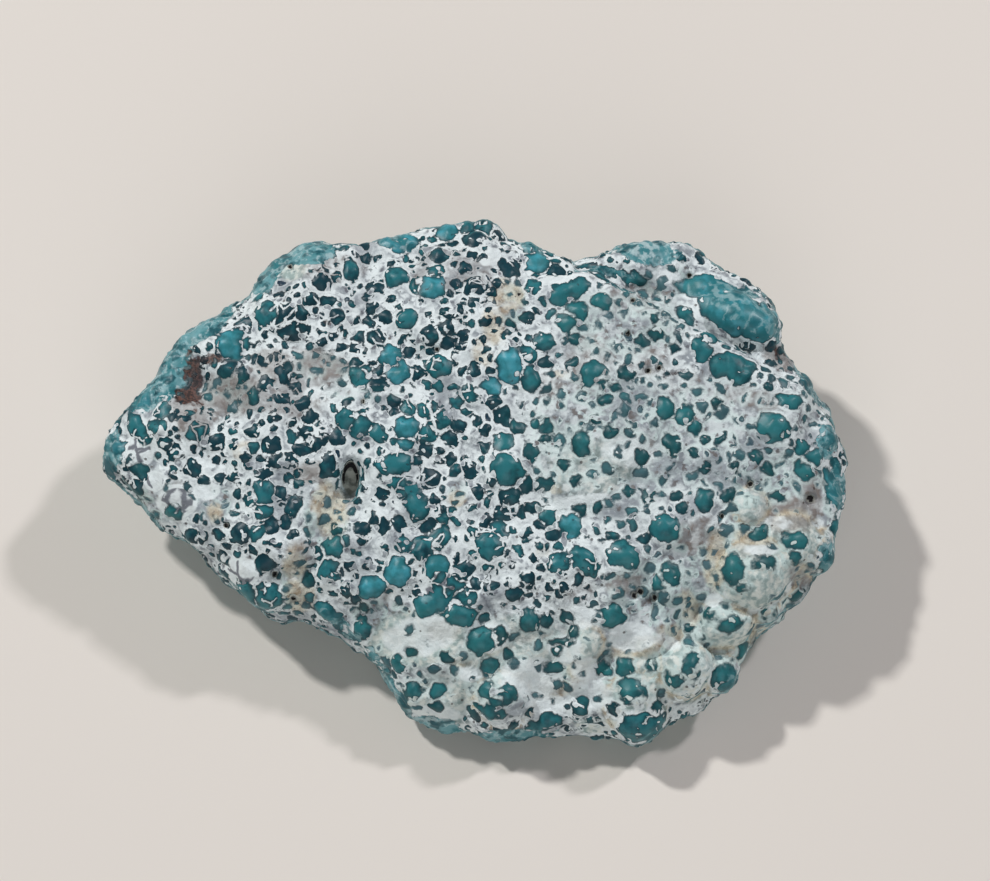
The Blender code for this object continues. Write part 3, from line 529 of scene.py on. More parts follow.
# %% [markdown]
# ## Sowing the smaller knobs
#
# The gaps between the placed knobs are full of smaller ones, and nothing in the lists lies
# where the camera does not reach, yet the stone is finished there too. Both are sown at
# random, clear of each other. They gather in clusters, as nodules do, and they are few where
# the ground is muted, white or coated. A regular scatter would be simpler, but it looks like
# printed cloth. The random numbers are seeded, so the stone comes out the same each time.

# %% Sow the rest
SIDE_KNOBS = 330
FACE_KNOBS = 840
SOWN_SEED = 7
TRIES = 14                  # for each knob that is wanted
CLUSTER_GAP = 0.3           # a knob closer than this to another belongs to its cluster
LONELY_SHARE = 0.13         # how many of the knobs that lie alone are kept

chooser = np.random.default_rng(SOWN_SEED)
middles = np.array([oval[0] for knob in knobs for oval in knob[2]])
radii = np.array([oval[4] for knob in knobs for oval in knob[2]])


def sow(ground, count, smallest, spread, bias, muting, cover, closeness):
    """Add knobs of random size at random points of the ground, clear of the others.

    They gather beside other knobs. On muted ground they are fewer and fainter, and the white
    and coated ground covers most of them.
    """
    global middles, radii
    sown = 0
    for _ in range(count * TRIES):
        index = chooser.choice(ground)
        radius = smallest + spread * chooser.random() ** bias
        stretch = chooser.uniform(0.6, 1.0)
        turn = chooser.uniform(0.0, pi)
        light = chooser.uniform(0.0, 0.6)
        faint = chooser.uniform(0.5, 1.0) * muting[index]
        apart = np.linalg.norm(middles - points[index], axis=1)
        share = 1.0 if (apart - radii).min() < radius + CLUSTER_GAP else LONELY_SHARE
        share *= (1.0 - 0.7 * muting[index]) * (1.0 - 0.9 * cover[index])
        welcome = chooser.random() < share
        if welcome and (apart > closeness * (radii + radius)).all():
            knobs.append((light, faint, [make_oval(index, radius, radius * stretch, turn)]))
            middles = np.vstack((middles, points[index]))
            radii = np.append(radii, radius)
            sown += 1
        if sown == count:
            break


def near_any(rows, places_seen):
    """How strongly the listed ovals cover each place, as it appears."""
    strength = np.zeros(len(places_seen))
    for x, y, length, width, turn, amount in rows:
        near = how_near(places_seen, x, y, length, width, radians(turn))
        strength = np.maximum(strength, amount * ease(0.35 + near * 1.3))
    return strength


face = np.nonzero(toward > 0.1)[0]
muting = np.minimum(near_any(MUTED, seen), 1.0)
cover = np.minimum(near_any(WHITE + COAT, seen), 1.0)
sow(face, FACE_KNOBS, smallest=0.3, spread=0.34, bias=1.5, muting=muting, cover=cover,
    closeness=0.88)
on_face = len(knobs) - placed
hidden = np.nonzero((toward < 0.1) & (points[:, 2] > 0.4))[0]
nothing = np.zeros(len(points))
sow(hidden, SIDE_KNOBS, smallest=0.35, spread=1.2, bias=2.2, muting=nothing, cover=nothing,
    closeness=0.9)
on_sides = len(knobs) - placed - on_face
print(on_face, "knobs sown on the face and", on_sides, "on the sides")

# %% [markdown]
# ## One number that says what is knob
#
# For every point the script works out how deep it lies inside its nearest knob, in
# millimetres, and how far outside when it lies in the web. That one number raises the knobs
# now and colours them later. The points are first shifted by irregular waves, which turns
# round outlines into the angular ones of the real stone. Where two knobs would touch, the
# number falls below zero halfway between them, and that leaves the web.

# %% Measure the depth inside the knobs
OUTLINE_WAVER = 0.34
WEB_WIDTH = 0.13
FAR = -2.0                  # the depth of a point that is near no knob
REACH = 1.2                 # how far outside a knob its depth is still measured


def shifted(places):
    """The places moved by irregular waves of two sizes."""
    moved = places.copy()
    for axis in range(3):
        moved[:, axis] += OUTLINE_WAVER * waves(places, 0.95, 17.0 * axis + 3.0)
        moved[:, axis] += 0.5 * OUTLINE_WAVER * waves(places, 0.5, 29.0 * axis + 5.0)
    return moved


def depth_in_knobs(places):
    """How deep each place is in a knob, that knob's lightness, its size and how faint it is."""
    moved = shifted(places)
    tree = kdtree.KDTree(len(moved))
    for index, place in enumerate(moved):
        tree.insert(place, index)
    tree.balance()
    depth = np.full(len(places), FAR)
    second = np.full(len(places), FAR)
    light = np.full(len(places), 0.3)
    size = np.full(len(places), 0.5)
    faint = np.zeros(len(places))
    for tone, faintness, ovals in knobs:
        own = {}
        for middle, along, across, up, length, width in ovals:
            near = [found[1] for found in tree.find_range(middle, max(length, width) + REACH)]
            offset = moved[near] - middle
            share = np.sqrt(
                (offset @ along / length) ** 2
                + (offset @ across / width) ** 2
                + (offset @ up / max(length, width)) ** 2
            )
            inside = (1.0 - share) * min(length, width)
            for index, value in zip(near, inside):
                own[index] = max(own.get(index, FAR), value)
        at = np.fromiter(own.keys(), int)
        value = np.fromiter(own.values(), float)
        better = value > depth[at]
        second[at] = np.where(better, depth[at], np.maximum(second[at], value))
        light[at] = np.where(better, tone, light[at])
        faint[at] = np.where(better, faintness, faint[at])
        size[at] = np.where(better, min(ovals[0][4:]), size[at])
        depth[at] = np.where(better, value, depth[at])
    between = (depth - second - WEB_WIDTH) / 2
    return np.minimum(depth, between), light, size, faint


depth, light, size, faint = depth_in_knobs(points)
print("share of the surface in knobs:", round(float((depth > 0).mean()), 2))

# %% [markdown]
# ## Raise the relief
#
# The knobs are harder than the clay around them, so they stand a little proud, with smooth
# round backs. The web between them is rough. On the right the coated ground swells into
# lobes with a crack around each one, left of the middle there is one narrow slot, and pin
# holes are scattered over the face. A displacement texture could do the knobs, but moving
# the points by the very number that colours them keeps shape and colour together.

# %% The slot, the lobes and the pin holes
SLOT = (-10.05, 0.0, 0.66, 1.45)        # X, Y, half width, half length
SLOT_DEPTH = 0.25
LOBE_RISE = 0.5
CRACK_WIDTH = 0.2
CRACK_WANDER = 0.09                     # how far the cracks stray from their ovals
LOBES = (                               # X, Y, half length, half width
    (22.6, -7.6, 3.3, 3.0), (25.6, -4.9, 2.3, 2.2), (19.6, -11.6, 3.0, 1.9),
    (17.0, -15.0, 2.3, 2.4), (12.9, -17.8, 2.6, 2.6), (8.8, -13.1, 1.5, 1.6),
    (19.9, -15.7, 1.7, 1.9), (22.2, -2.1, 1.5, 1.5), (27.8, -6.0, 1.5, 2.1),
    (23.7, -10.6, 1.4, 1.5), (14.2, -14.2, 1.5, 1.4), (2.3, -17.6, 2.4, 2.3),
)
HOLES = (                               # X, Y, radius, depth
    (13.3, -8.9, 0.3, 0.5), (12.8, -9.2, 0.3, 0.5), (14.4, -9.4, 0.3, 0.5),
    (-14.6, -9.5, 0.3, 0.4), (-16.1, -7.5, 0.3, 0.4), (-15.0, 17.2, 0.22, 0.2),
    (12.8, 14.5, 0.25, 0.4), (12.4, 11.8, 0.25, 0.4), (22.2, -0.3, 0.3, 0.4),
    (19.9, -2.9, 0.22, 0.4), (-20.0, -3.6, 0.25, 0.4), (-9.05, 6.3, 0.25, 0.3),
    (-3.1, 10.5, 0.25, 0.3), (17.4, 16.5, 0.25, 0.4), (27.0, -1.5, 0.4, 0.4),
    (14.0, 8.8, 0.25, 0.4), (14.9, 9.0, 0.25, 0.4), (3.6, 15.0, 0.25, 0.3),
)


def slot_share(places_seen):
    """The slot with its round top: 1 well inside, 0 outside."""
    x, y, half_width, half_length = SLOT
    return ease(how_near(places_seen, x, y, half_width, half_length) * 2.0 + 0.3)


def lobes(places_seen):
    """How high the coated lobes swell, 0 to 1, and where the crack around each one runs."""
    height = np.zeros(len(places_seen))
    crack = np.zeros(len(places_seen))
    wander = CRACK_WANDER * waves(np.pad(places_seen, ((0, 0), (0, 1))), 1.6, 60.0)
    for x, y, length, width in LOBES:
        near = how_near(places_seen, x, y, length, width) + wander
        own = np.clip(2.0 * near - near * near, 0.0, 1.0)
        height = np.maximum(height, own)
        line = np.exp(-((near * width / CRACK_WIDTH) ** 2))
        crack = np.maximum(crack, line * (height <= own + 0.1))
    return height, crack


print("one slot,", len(LOBES), "lobes and", len(HOLES), "pin holes")

# %% Move the points
LEAST_RISE = 0.07           # of a knob, which stands higher the larger it is
RISE_FOR_SIZE = 0.16
MOST_RISE = 0.34
GROOVE_DEPTH = 0.02         # just outside each knob
GROOVE_WIDTH = 0.12
WEB_BUMPS = 0.13            # the web's own roughness, coarse and fine
FINE_WEB_BUMPS = 0.05
UNEVENNESS = 0.2            # of the whole surface
FLAT_BELOW = 0.8            # the relief fades out under this height, so the stone lies flat

in_knob = ease(depth / (0.7 * size))
rise = np.minimum(LEAST_RISE + RISE_FOR_SIZE * size, MOST_RISE)
lift = rise * in_knob
groove = np.exp(-(((depth + GROOVE_WIDTH / 2) / GROOVE_WIDTH) ** 2))
lift -= GROOVE_DEPTH * groove
web = 1.0 - ease(depth / 0.1 + 1.0)
lift += web * (WEB_BUMPS * waves(points, 0.95) + FINE_WEB_BUMPS * waves(points, 0.42, 9.0))
lift += UNEVENNESS * waves(points, 2.3, 4.0)
visible = in_view()
lift += LOBE_RISE * lobes(seen)[0] * visible
lift -= SLOT_DEPTH * slot_share(seen) * visible
for x, y, radius, deep in HOLES:
    lift -= deep * ease(how_near(seen, x, y, radius * 1.5, radius * 1.5) * 2.0) * visible
lift *= ease(points[:, 2] / FLAT_BELOW)
write_points(stone.data, points + facing * lift[:, None])
print("raised by up to", round(float(lift.max()), 2), "mm")

# %% [markdown]
# ## Fewer triangles
#
# The relief is now in the mesh, and flat stretches need fewer triangles than knobs do. One
# decimation keeps the piece light enough to open anywhere.

# %% Thin the mesh out
FINE_TRIANGLES = 190000


def count_triangles(mesh):
    """How many triangles the mesh makes, its larger faces cut up."""
    return sum(len(polygon.vertices) - 2 for polygon in mesh.polygons)


thin = stone.modifiers.new("Thin", "DECIMATE")
thin.ratio = min(1.0, FINE_TRIANGLES / count_triangles(stone.data))
bake_modifiers(stone)
stone.data.polygons.foreach_set("use_smooth", [True] * len(stone.data.polygons))
print("triangles:", count_triangles(stone.data))

# %% [markdown]
# The sides and the underside follow a rule instead of a list. They are closed by the smooth
# rind, and white crust shows in hollows. How hollow a place is comes from a comparison of the
# surface with a smoothed copy of itself.

# %% Find the hollows
SMOOTHING_ROUNDS = 14


def neighbour_average(places, edges, counts):
    """Each place moved to the average of its neighbours."""
    total = np.zeros_like(places)
    for axis in range(places.shape[1]):
        sums = np.bincount(edges[:, 0], places[edges[:, 1], axis], len(places))
        sums += np.bincount(edges[:, 1], places[edges[:, 0], axis], len(places))
        total[:, axis] = sums / counts
    return total


points, facing = read_points(stone.data)
seen = seen_at(points)
toward = facing_the_eye(points, facing)
edges = np.empty(len(stone.data.edges) * 2, int)
stone.data.edges.foreach_get("vertices", edges)
edges = edges.reshape(-1, 2)
counts = np.bincount(edges.ravel(), minlength=len(points))
smoothed = points.copy()
for _ in range(SMOOTHING_ROUNDS):
    smoothed = neighbour_average(smoothed, edges, counts)
hollow = ((smoothed - points) * facing).sum(1)
print("points in a hollow:", int((hollow > 0).sum()), "of", len(points))

# %% Work the numbers out and store them
SIDE_BEGINS = 0.5           # how squarely the surface still faces the camera there
SIDE_COMPLETE = 0.08
MUTED_SIDES = 0.8
COATED_SIDES = 0.6
RIND_PAST_EDGE = 0.15       # listed rind runs on a little over the stone's outline
RIND_ON_SIDES = 0.85
RIND_PATCHINESS = 0.7
CRUST_IN_HOLLOWS = 2.2
# The next two set how dark the painted shadow is along the slot's upper edge and in the pin holes.
SLOT_ARCH_SHADOW = 7.0             # how dark the slot's upper edge is
PIN_HOLE_DARK = 1.7


def painted(rows, past_edge=0.0):
    """The strongest of the listed ovals at each point, fading out at the stone's outline."""
    return near_any(rows, seen) * in_view(past_edge)


depth, light, size, faint = depth_in_knobs(points)
side = ease((SIDE_BEGINS - toward) / (SIDE_BEGINS - SIDE_COMPLETE))
patchy = waves(points, 3.4, 40.0) + 0.5 * waves(points, 1.5, 50.0)
rind_on_sides = RIND_ON_SIDES + RIND_PATCHINESS * patchy - CRUST_IN_HOLLOWS * hollow
rind_on_sides = side * np.clip(rind_on_sides, 0.0, 1.2)
# Painted shade for the slot, darkest as a painted shadow along its upper edge, and for the pin
# holes.
slot = slot_share(seen)
upper = ease((seen[:, 1] - SLOT[1]) / SLOT[3] + 0.7)
painted_hole_shade = (slot + SLOT_ARCH_SHADOW * upper * slot * (1.0 - slot)) * in_view()
for x, y, radius, _ in HOLES:
    dark = ease(how_near(seen, x, y, radius, radius) * 2.5) * in_view()
    painted_hole_shade = np.maximum(painted_hole_shade, PIN_HOLE_DARK * dark)
numbers = {
    "depth": depth,
    "light": light,
    "faint": faint,
    "muted": np.maximum(painted(MUTED), MUTED_SIDES * side),
    "white": painted(WHITE),
    "coat": np.maximum(painted(COAT), COATED_SIDES * side),
    "sand": painted(SAND),
    "dun_and_shade": painted(DUN_AND_SHADE),
    "rust": painted(RUST),
    "rind": np.maximum(painted(RIND, RIND_PAST_EDGE), rind_on_sides),
    "hollow": hollow,
    "crack": lobes(seen)[1] * in_view(),
    "painted_hole_shade": painted_hole_shade,
}
for name, values in numbers.items():
    attribute = stone.data.attributes.new(name, "FLOAT", "POINT")
    attribute.data.foreach_set("value", values.astype(np.float32))
    print(name, "runs from", values.min().round(2), "to", values.max().round(2))

# %% Turn it into metres and stand it in place
write_points(stone.data, points * MM)
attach(stone, "root")
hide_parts("turquoise_nugget")
print("piece size, metres:", [round(side_length, 4) for side_length in stone.dimensions])

# %% [markdown]
# ## Writing materials in a few words
#
# A material is a graph of nodes. Dragging ten of them into place by hand is quick, but this
# finish has hundreds. So each kind of node gets a short function, and a node's output is
# wrapped in a small class, on which plus, minus and times are written with their usual signs.

# %% Nodes for numbers and places
material = bpy.data.materials.new("turquoise_in_matrix_finish")
material.use_nodes = True
nodes = material.node_tree.nodes
links = material.node_tree.links
shader = nodes["Principled BSDF"]


class Value:
    """A node's output. The signs +, - and * add a Math node behind it."""

    def __init__(self, socket):
        self.socket = socket

    def __add__(self, other):
        return maths("ADD", self, other)

    def __sub__(self, other):
        return maths("SUBTRACT", self, other)

    def __rsub__(self, other):
        return maths("SUBTRACT", other, self)

    def __mul__(self, other):
        return maths("MULTIPLY", self, other)


def put(socket, value):
    """Give a node's input a fixed value, or link a node's output to it."""
    if isinstance(value, Value):
        links.new(value.socket, socket)
    else:
        socket.default_value = value


def maths(operation, first, second=0.0):
    """One operation on two numbers."""
    node = nodes.new("ShaderNodeMath")
    node.operation = operation
    put(node.inputs[0], first)
    put(node.inputs[1], second)
    return Value(node.outputs[0])


def vector(operation, first, second):
    """One operation on two places, or on a place and the number that scales it."""
    node = nodes.new("ShaderNodeVectorMath")
    node.operation = operation
    put(node.inputs[0], first)
    put(node.inputs["Scale"] if operation == "SCALE" else node.inputs[1], second)
    return Value(node.outputs[0])


def step(value, low, high):
    """A soft step: 0 at low, 1 at high."""
    node = nodes.new("ShaderNodeMapRange")
    node.interpolation_type = "SMOOTHSTEP"
    put(node.inputs["Value"], value)
    put(node.inputs["From Min"], low)
    put(node.inputs["From Max"], high)
    return Value(node.outputs["Result"])


print("arithmetic ready for", material.name)

# %% Nodes for colours, patterns and stored numbers


def blend(share, first, second):
    """The first colour where share is 0, the second where it is 1."""
    node = nodes.new("ShaderNodeMix")
    node.data_type = "RGBA"
    put(node.inputs["Factor"], share)
    colours = [socket for socket in node.inputs if socket.type == "RGBA"]
    put(colours[0], first)
    put(colours[1], second)
    return Value(next(socket for socket in node.outputs if socket.type == "RGBA"))


def lay(under, over, share, strength):
    """One colour laid over another where share is 1, as strongly as strength says."""
    return blend(share * strength, under, over)


def clouds(where, size, detail=2.0, output=0):
    """Clouds of the given size, in millimetres. Output 1 gives three at once."""
    node = nodes.new("ShaderNodeTexNoise")
    put(node.inputs["Vector"], where)
    node.inputs["Scale"].default_value = 1 / size
    node.inputs["Detail"].default_value = detail
    return Value(node.outputs[output])


def cells(where, size, feature="F1"):
    """Cells of the given size: distances in cell sizes, and a random colour."""
    node = nodes.new("ShaderNodeTexVoronoi")
    node.feature = feature
    put(node.inputs["Vector"], where)
    node.inputs["Scale"].default_value = 1 / size
    return {output.name: Value(output) for output in node.outputs}


def cell_walls(where, size):
    """How far a place is from the nearest wall between cells, in cell sizes."""
    return cells(where, size, "DISTANCE_TO_EDGE")["Distance"]


def number(name):
    """The number that the points carry under this name."""
    node = nodes.new("ShaderNodeAttribute")
    node.attribute_name = name
    return Value(node.outputs["Fac"])


def split(colours):
    """The three parts of a colour. The colour of a cell is three random numbers."""
    node = nodes.new("ShaderNodeSeparateColor")
    put(node.inputs[0], colours)
    return [Value(output) for output in node.outputs]


def colour(red, green, blue):
    """A colour as a screen shows it, 0 to 255, as the linear values that nodes take."""
    linear = []
    for value in (red, green, blue):
        share = value / 255
        linear.append(share / 12.92 if share < 0.04045 else ((share + 0.055) / 1.055) ** 2.4)
    return (*linear, 1.0)


print("pale grey on screen is", [round(value, 2) for value in colour(225, 228, 228)])

# %% [markdown]
# ## The pattern of the stone
#
# Between the placed and the sown knobs lie hundreds of smaller ones, down to a fifth of a
# millimetre. Raising each would need millions of triangles, so they are drawn by cell
# textures: every cell is one small knob, some cells are left out at random, and the gap along
# the cell walls is the web. Two sizes of cells are laid over each other.

# %% Small knobs from cells
CROWD = 0.41                # the share of the cells that hold a knob on plain web
GAP = 0.11                  # between the larger and the smaller ones, millimetres

texture = nodes.new("ShaderNodeTexCoord")
place = vector("SCALE", Value(texture.outputs["Object"]), 1 / MM)


def wavering(where, size, amount):
    """The place, shifted by clouds: it bends straight lines."""
    shift = vector("SUBTRACT", clouds(where, size, 2.0, 1), (0.5, 0.5, 0.5))
    return vector("ADD", where, vector("SCALE", shift, amount))


bent = wavering(wavering(place, 1.6, 0.9), 0.45, 0.22)
muted = number("muted")
broad = clouds(place, 3.4, 1.0) - 0.5


def small_knobs(size, crowd, narrow, spread, reach):
    """How deep a place is inside the small knobs of one size, in millimetres.

    A knob ends at its cell's wall, less a gap of narrow to narrow + spread, or at reach from
    its middle. Crowd is the share of the cells that hold one.
    """
    middle = cells(bent, size)
    chance = split(middle["Color"])
    from_wall = cell_walls(bent, size) * size - (chance[1] * spread + narrow)
    inside = maths("MINIMUM", from_wall, reach - middle["Distance"] * size)
    left_out = maths("GREATER_THAN", chance[0], crowd)
    return inside - left_out, chance[2]


crowd = CROWD - muted * 0.17 + broad * 0.9 - number("coat") * 0.2
larger, larger_tone = small_knobs(0.95, crowd, narrow=0.08, spread=0.14, reach=0.52)
smaller, smaller_tone = small_knobs(0.5, crowd * 0.35, narrow=0.05, spread=0.08, reach=0.27)
clear_of_larger = larger * -1.0 - GAP
small = maths("MAXIMUM", larger, maths("MINIMUM", smaller, clear_of_larger))
beside = maths("MAXIMUM", number("depth") + 0.5, 0.0)
small = small - beside * 0.8 - number("white") * 0.3
print("nodes so far:", len(nodes))

# %% [markdown]
# The raised knobs come from the number that raised them. Clouds roughen their outlines and
# bite pieces out of them, and some of the darker ones are split by seams of clay, which are
# the walls of larger cells. An outline drawn from the ovals alone would look cut out.

# %% Larger knobs from their depth
ROUGHNESS_OF_OUTLINE = 0.42     # millimetres, as the next four
BITE_DEPTH = 0.45
SEAM_SPACING = 1.4
SEAM_WIDTH = 0.07
BLUR = 0.07                     # of the outlines on muted ground

placed_depth = number("depth") + (clouds(place, 0.6, 2.0) - 0.5) * ROUGHNESS_OF_OUTLINE
bites = step(clouds(place, 0.85, 1.0), 0.6, 0.7)
placed_depth = placed_depth - bites * BITE_DEPTH
seams = cell_walls(bent, SEAM_SPACING) * SEAM_SPACING - SEAM_WIDTH
whole = step(clouds(place, 1.4, 1.0), 0.44, 0.5)
whole = maths("MAXIMUM", whole, step(muted, 0.1, 0.3))
whole = maths("MAXIMUM", whole, step(number("light"), 0.62, 0.72))
veined = step(number("white"), 1.0, 1.2)
placed_depth = maths("MINIMUM", placed_depth, seams + whole * (1.0 - veined))
inside = maths("MAXIMUM", placed_depth, small)
blur = muted * BLUR
in_turquoise = step(inside, -0.02 - blur, blur + 0.04)
print("nodes so far:", len(nodes))

# %% [markdown]
# ## The colours of the turquoise
#
# A knob is nearly black blue-green where it is small, and a clear teal or sky blue where it
# is large. Light enters a large knob a little way, so its middle looks brighter than its rim;
# here that is painted, as painted shade darkening each knob towards its rim. Light let into the
# material itself could show that too, but it takes far longer to render.

# %% Colour the knobs
RIM_SHADE_TEAL = colour(8, 48, 58)
DARK_TEAL = colour(13, 62, 74)
TEAL = colour(42, 121, 129)
GREEN_TEAL = colour(50, 122, 121)
SKY_TEAL = colour(76, 168, 184)
NAVY = colour(22, 54, 74)
MUTED_TEAL = colour(92, 122, 130)

patches = clouds(place, 0.9, 3.0)
lightness = number("light") + patches * 1.1 - 0.55
body_colour = blend(step(lightness, 0.1, 0.6), DARK_TEAL, TEAL)
body_colour = blend(step(lightness, 0.65, 1.15), body_colour, SKY_TEAL)
body_colour = lay(body_colour, GREEN_TEAL, muted, 0.45)
# Painted shade: each placed knob turns darker towards its rim, so that its middle looks lit.
knob_colour = blend(step(placed_depth, -0.1, 0.34), RIM_SHADE_TEAL, body_colour)
knob_colour = lay(knob_colour, MUTED_TEAL, number("faint"), 0.8)
small_colour = blend(step(larger_tone + patches, 0.55, 1.35), NAVY, DARK_TEAL)
small_colour = lay(small_colour, MUTED_TEAL, step(muted + smaller_tone, 0.5, 1.5), 0.9)
is_placed = maths("GREATER_THAN", placed_depth, small)
turquoise = blend(is_placed, small_colour, knob_colour)
print("turquoise coloured, nodes so far:", len(nodes))

# %% [markdown]
# ## The web and the grounds
#
# The web is clean and white right beside a knob. Farther from the knobs it turns grey and
# lavender with grit in it, and it carries stains of sand and dun. The dun patches also lie over
# broad hollows at the upper left and a crease at the upper right, as painted shade there. On
# the lobes at the right it wears a pale blue-white coat, and sandy dirt fills the cracks around
# them. Broad clouds, a few millimetres across, make some parts darker and more crowded than
# others. One even colour would be quicker, but the eye would take it for paint.

# %% Colour the web
WEB_WHITE = colour(244, 253, 253)
WEB_PALE = colour(220, 229, 230)
GREY = colour(154, 162, 168)
GRIT = colour(92, 94, 102)
BROWN_GRIT = colour(112, 102, 96)
LINE_SLATE = colour(66, 68, 86)
COAT_PALE = colour(234, 240, 230)
COAT_BLUE = colour(172, 196, 192)
COAT_HALO = colour(208, 228, 224)
SANDY = colour(226, 218, 194)
SANDY_DEEP = colour(194, 174, 142)
DUN_AND_SHADE_GREY = colour(146, 138, 132)


def patch(name, cloud, softness=0.38, breakup=0.9):
    """A painted number with its soft edge broken up by clouds."""
    share = step(number(name) + (cloud - 0.5) * breakup, 0.5 - softness, 0.5 + softness)
    return share * step(number(name), 0.05, 0.2)


coarse = clouds(bent, 1.3, 4.0)
fine = clouds(place, 0.6, 2.5)
grain = clouds(place, 0.25, 3.0)

mottle = step(coarse + fine * 0.9 + broad * 0.6, 0.74, 1.04)
ground = blend(mottle, WEB_PALE, GREY)
specks = step(fine, 0.53, 0.63) * step(inside, -0.1, -0.4)
grit_colour = blend(step(muted, 0.3, 0.8), GRIT, BROWN_GRIT)
ground = lay(ground, grit_colour, specks, 0.75)

coat_colour = blend(step(fine, 0.38, 0.62), COAT_PALE, COAT_BLUE)
ground = lay(ground, coat_colour, patch("coat", coarse), 0.8)
# Dun: a brownish grey stain, and painted shade over the broad hollows and the crease.
dun_and_shade_share = patch("dun_and_shade", fine)
ground = lay(ground, DUN_AND_SHADE_GREY, dun_and_shade_share, 0.75)
sand_colour = blend(step(fine, 0.42, 0.66), SANDY, SANDY_DEEP)
sand_colour = lay(sand_colour, BROWN_GRIT, step(grain, 0.56, 0.66), 0.55)
ground = lay(ground, sand_colour, number("crack") * step(coarse, 0.3, 0.5), 0.8)

halo = step(inside, -0.34, -0.1) * step(fine, 0.72, 0.56)
shaded = dun_and_shade_share * 0.65 + step(broad, 0.05, 0.25)
halo = halo * (1.0 - maths("MINIMUM", shaded, 0.7))
halo_colour = blend(step(muted, 0.4, 0.9), WEB_WHITE, COAT_HALO)
ground = lay(ground, halo_colour, halo, 0.85)
ground = lay(ground, sand_colour, patch("sand", coarse, softness=0.36, breakup=1.6), 0.66)

white_share = patch("white", coarse, softness=0.15)
ground = lay(ground, WEB_WHITE, white_share, 0.8)
lines = step(cell_walls(bent, 1.7), 0.12, 0.04) * (white_share * veined)
ground = lay(ground, LINE_SLATE, lines, 0.8)
print("grounds coloured, nodes so far:", len(nodes))

# %% [markdown]
# ## The rind
#
# Where the nodule grew against open space it closed with a smooth waxy rind. It is lighter
# than the knobs, with paler, bluer clouds and fine pale streaks in it, and its edge is broken
# up by the same clouds as the web. Rust lies over everything, and thinner on the knobs,
# because it creeps into the clay but only dusts the smooth turquoise. A second object could
# carry the rind, but its edge would never lie as close as a colour does.

# %% Colour the rind and the rust, and put the layers together
RIND_TEAL = colour(44, 124, 132)
RIND_BLUE = colour(114, 170, 177)
RIND_DEEP = colour(24, 90, 100)
RIND_PALE = colour(190, 214, 216)
RUST_BROWN = colour(52, 32, 27)
RUST_RED = colour(104, 68, 56)

rind_edge = (coarse + fine) * 0.5
rind_share = patch("rind", rind_edge, softness=0.1, breakup=3.0)
rind_colour = blend(step(clouds(bent, 2.2, 4.0), 0.36, 0.62), RIND_TEAL, RIND_BLUE)
rind_colour = blend(step(coarse, 0.5, 0.64), rind_colour, RIND_DEEP)
streaks = step(maths("ABSOLUTE", coarse - 0.5), 0.05, 0.015) * step(fine, 0.42, 0.56)
rind_colour = lay(rind_colour, RIND_PALE, streaks, 0.55)
worn = step(number("white"), 0.3, 0.9) * step(fine, 0.4, 0.56)
rind_colour = lay(rind_colour, RIND_PALE, worn, 0.75)

layered = blend(in_turquoise, ground, turquoise)
showing_through = step(placed_depth, 0.0, 0.06) * 0.45
layered = blend(rind_share * (1.0 - showing_through), layered, rind_colour)
rust_colour = blend(step(grain, 0.45, 0.6), RUST_BROWN, RUST_RED)
rust_share = patch("rust", rind_edge, softness=0.25, breakup=3.6) * (0.92 - in_turquoise * 0.5)
layered = blend(rust_share, layered, rust_colour)
print("rind and rust coloured, nodes so far:", len(nodes))

# %% [markdown]
# Last come the small dark things: specks of pepper on the clay, painted shade in the slot and
# the pin holes, and painted shade in the crevices. Their shape is in the mesh already. The
# colour adds the shadow that so small a hollow is too shallow to cast.

# %% Specks, holes and crevices
PEPPER = colour(70, 62, 60)
HOLE_FLOOR_SHADE = colour(128, 130, 122)
HOLE_FLOOR_SHADE_PALE = colour(186, 186, 176)
HOLE_SHADOW_BLACK = colour(28, 26, 28)

dots = cells(place, 0.85)
dot = step(dots["Distance"], 0.17, 0.12) * maths("GREATER_THAN", split(dots["Color"])[0], 0.8)
dot = dot * (1.0 - in_turquoise) * (1.0 - rind_share)
layered = lay(layered, PEPPER, dot, 0.75)
# Painted shade: the slot's floor is greyed, and its upper edge and the pin holes are blackened as
# shadow.
painted_hole_shade = number("painted_hole_shade")
hole_floor_shade = blend(step(fine, 0.4, 0.6), HOLE_FLOOR_SHADE, HOLE_FLOOR_SHADE_PALE)
layered = blend(step(painted_hole_shade, 0.3, 0.9), layered, hole_floor_shade)
layered = blend(step(painted_hole_shade, 1.05, 1.5), layered, HOLE_SHADOW_BLACK)
# Painted shade: the clay is darkened with the grit colour in the hollows, less so in the slot.
crevice_shade = maths("MAXIMUM", step(number("hollow"), 0.05, 0.3) - step(painted_hole_shade, 0.1, 0.5), 0.0)
layered = lay(layered, GRIT, crevice_shade, 0.35)
put(shader.inputs["Base Color"], layered)
print("layers:", len(nodes), "nodes")

# %% [markdown]
# ## Gloss and the finest relief
#
# Turquoise takes a waxy shine, and clay takes none. The roughness therefore follows the same
# masks as the colour. Relief too fine for triangles is a bump, taken from the depth inside
# the small knobs, so that each of them catches its own light, and from the grain of the clay.

# %% Roughness and bump
CLAY_ROUGHNESS = 0.88
WAXY_SHINE = 0.48           # how much smoother turquoise is
HIGHLIGHT = 0.35
SMALL_KNOB_HEIGHT = 0.1     # millimetres, as the next one
CLAY_GRAIN_HEIGHT = 0.12

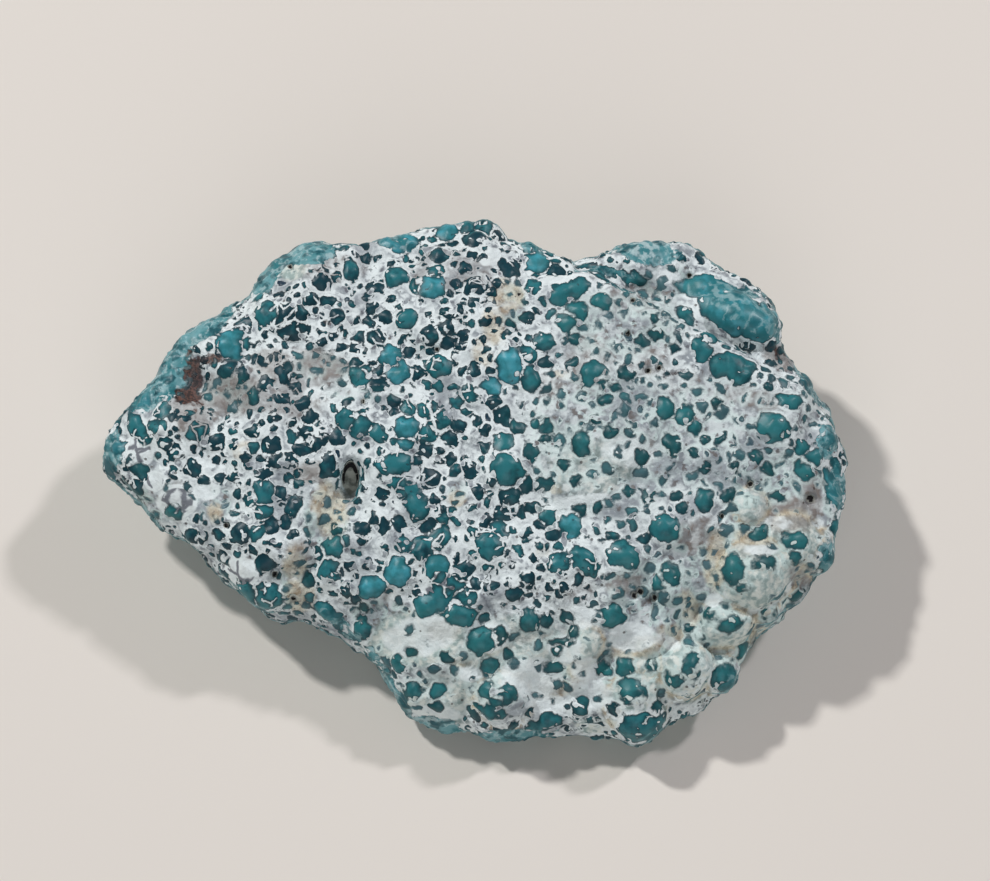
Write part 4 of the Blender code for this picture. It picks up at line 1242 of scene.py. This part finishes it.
glossy = maths("MAXIMUM", in_turquoise, rind_share)
put(shader.inputs["Roughness"], CLAY_ROUGHNESS - glossy * WAXY_SHINE)
shader.inputs["Specular IOR Level"].default_value = HIGHLIGHT
web_rough = (1.0 - glossy) * CLAY_GRAIN_HEIGHT
height = step(small, 0.0, 0.3) * SMALL_KNOB_HEIGHT + fine * web_rough + grain * (web_rough * 0.5)
bump = nodes.new("ShaderNodeBump")
bump.inputs["Distance"].default_value = MM
bump.inputs["Strength"].default_value = 1.0
put(bump.inputs["Height"], height)
put(shader.inputs["Normal"], Value(bump.outputs["Normal"]))
stone.data.materials.clear()
stone.data.materials.append(material)
print("finish ready on", stone.name, "with", len(nodes), "nodes")

# %% [markdown]
# ## The table and the light
#
# The stone lies on a plain pale surface under light from above: a strong small one behind on
# the left, a weaker one behind on the right, and a broad faint one in front. Area lights give
# shadows with the right soft edges. A sky picture could light it too, but then nothing could
# be adjusted one at a time.

# %% Floor, lights and world
FLOOR_SIZE = 3.0            # metres, as everything here
FLOOR_COLOUR = colour(235, 228, 219)
FLOOR_ROUGHNESS = 0.75
LIGHT_DISTANCE = 1.0
ROSY = (1.0, 0.97, 1.02)
BLUISH = (0.97, 1.0, 1.04)
ROOM = (0.1, 0.1, 0.1, 1.0)


def area_light(name, azimuth, elevation, size, power, tint=(1.0, 1.0, 1.0)):
    """A square light that looks at the stone. Azimuth 0 is behind it, and 90 is its right."""
    lamp = bpy.data.lights.new(name, "AREA")
    lamp.size = size
    lamp.energy = power
    lamp.color = tint
    holder = bpy.data.objects.new(name, lamp)
    bpy.context.scene.collection.objects.link(holder)
    turn, tilt = radians(azimuth), radians(elevation)
    direction = Vector((sin(turn) * cos(tilt), cos(turn) * cos(tilt), sin(tilt)))
    holder.location = direction * LIGHT_DISTANCE
    holder.rotation_euler = direction.to_track_quat("Z", "Y").to_euler()


floor_bm = bmesh.new()
bmesh.ops.create_grid(floor_bm, x_segments=1, y_segments=1, size=FLOOR_SIZE / 2)
floor_mesh = bpy.data.meshes.new("floor")
floor_bm.to_mesh(floor_mesh)
floor_bm.free()
floor = bpy.data.objects.new("floor", floor_mesh)
bpy.context.scene.collection.objects.link(floor)
floor_material = bpy.data.materials.new("pale_table")
floor_material.use_nodes = True
floor_shader = floor_material.node_tree.nodes["Principled BSDF"]
floor_shader.inputs["Base Color"].default_value = FLOOR_COLOUR
floor_shader.inputs["Roughness"].default_value = FLOOR_ROUGHNESS
floor_mesh.materials.append(floor_material)

area_light("window_back_left", azimuth=-50, elevation=47, size=0.06, power=5.5)
area_light("window_back_right", azimuth=52, elevation=43, size=0.07, power=3.2, tint=ROSY)
area_light("window_in_front", azimuth=180, elevation=35, size=0.8, power=2.6, tint=BLUISH)
world = bpy.data.worlds.new("room")
world.use_nodes = True
world.node_tree.nodes["Background"].inputs["Color"].default_value = ROOM
bpy.context.scene.world = world
bpy.context.scene.view_settings.view_transform = "Standard"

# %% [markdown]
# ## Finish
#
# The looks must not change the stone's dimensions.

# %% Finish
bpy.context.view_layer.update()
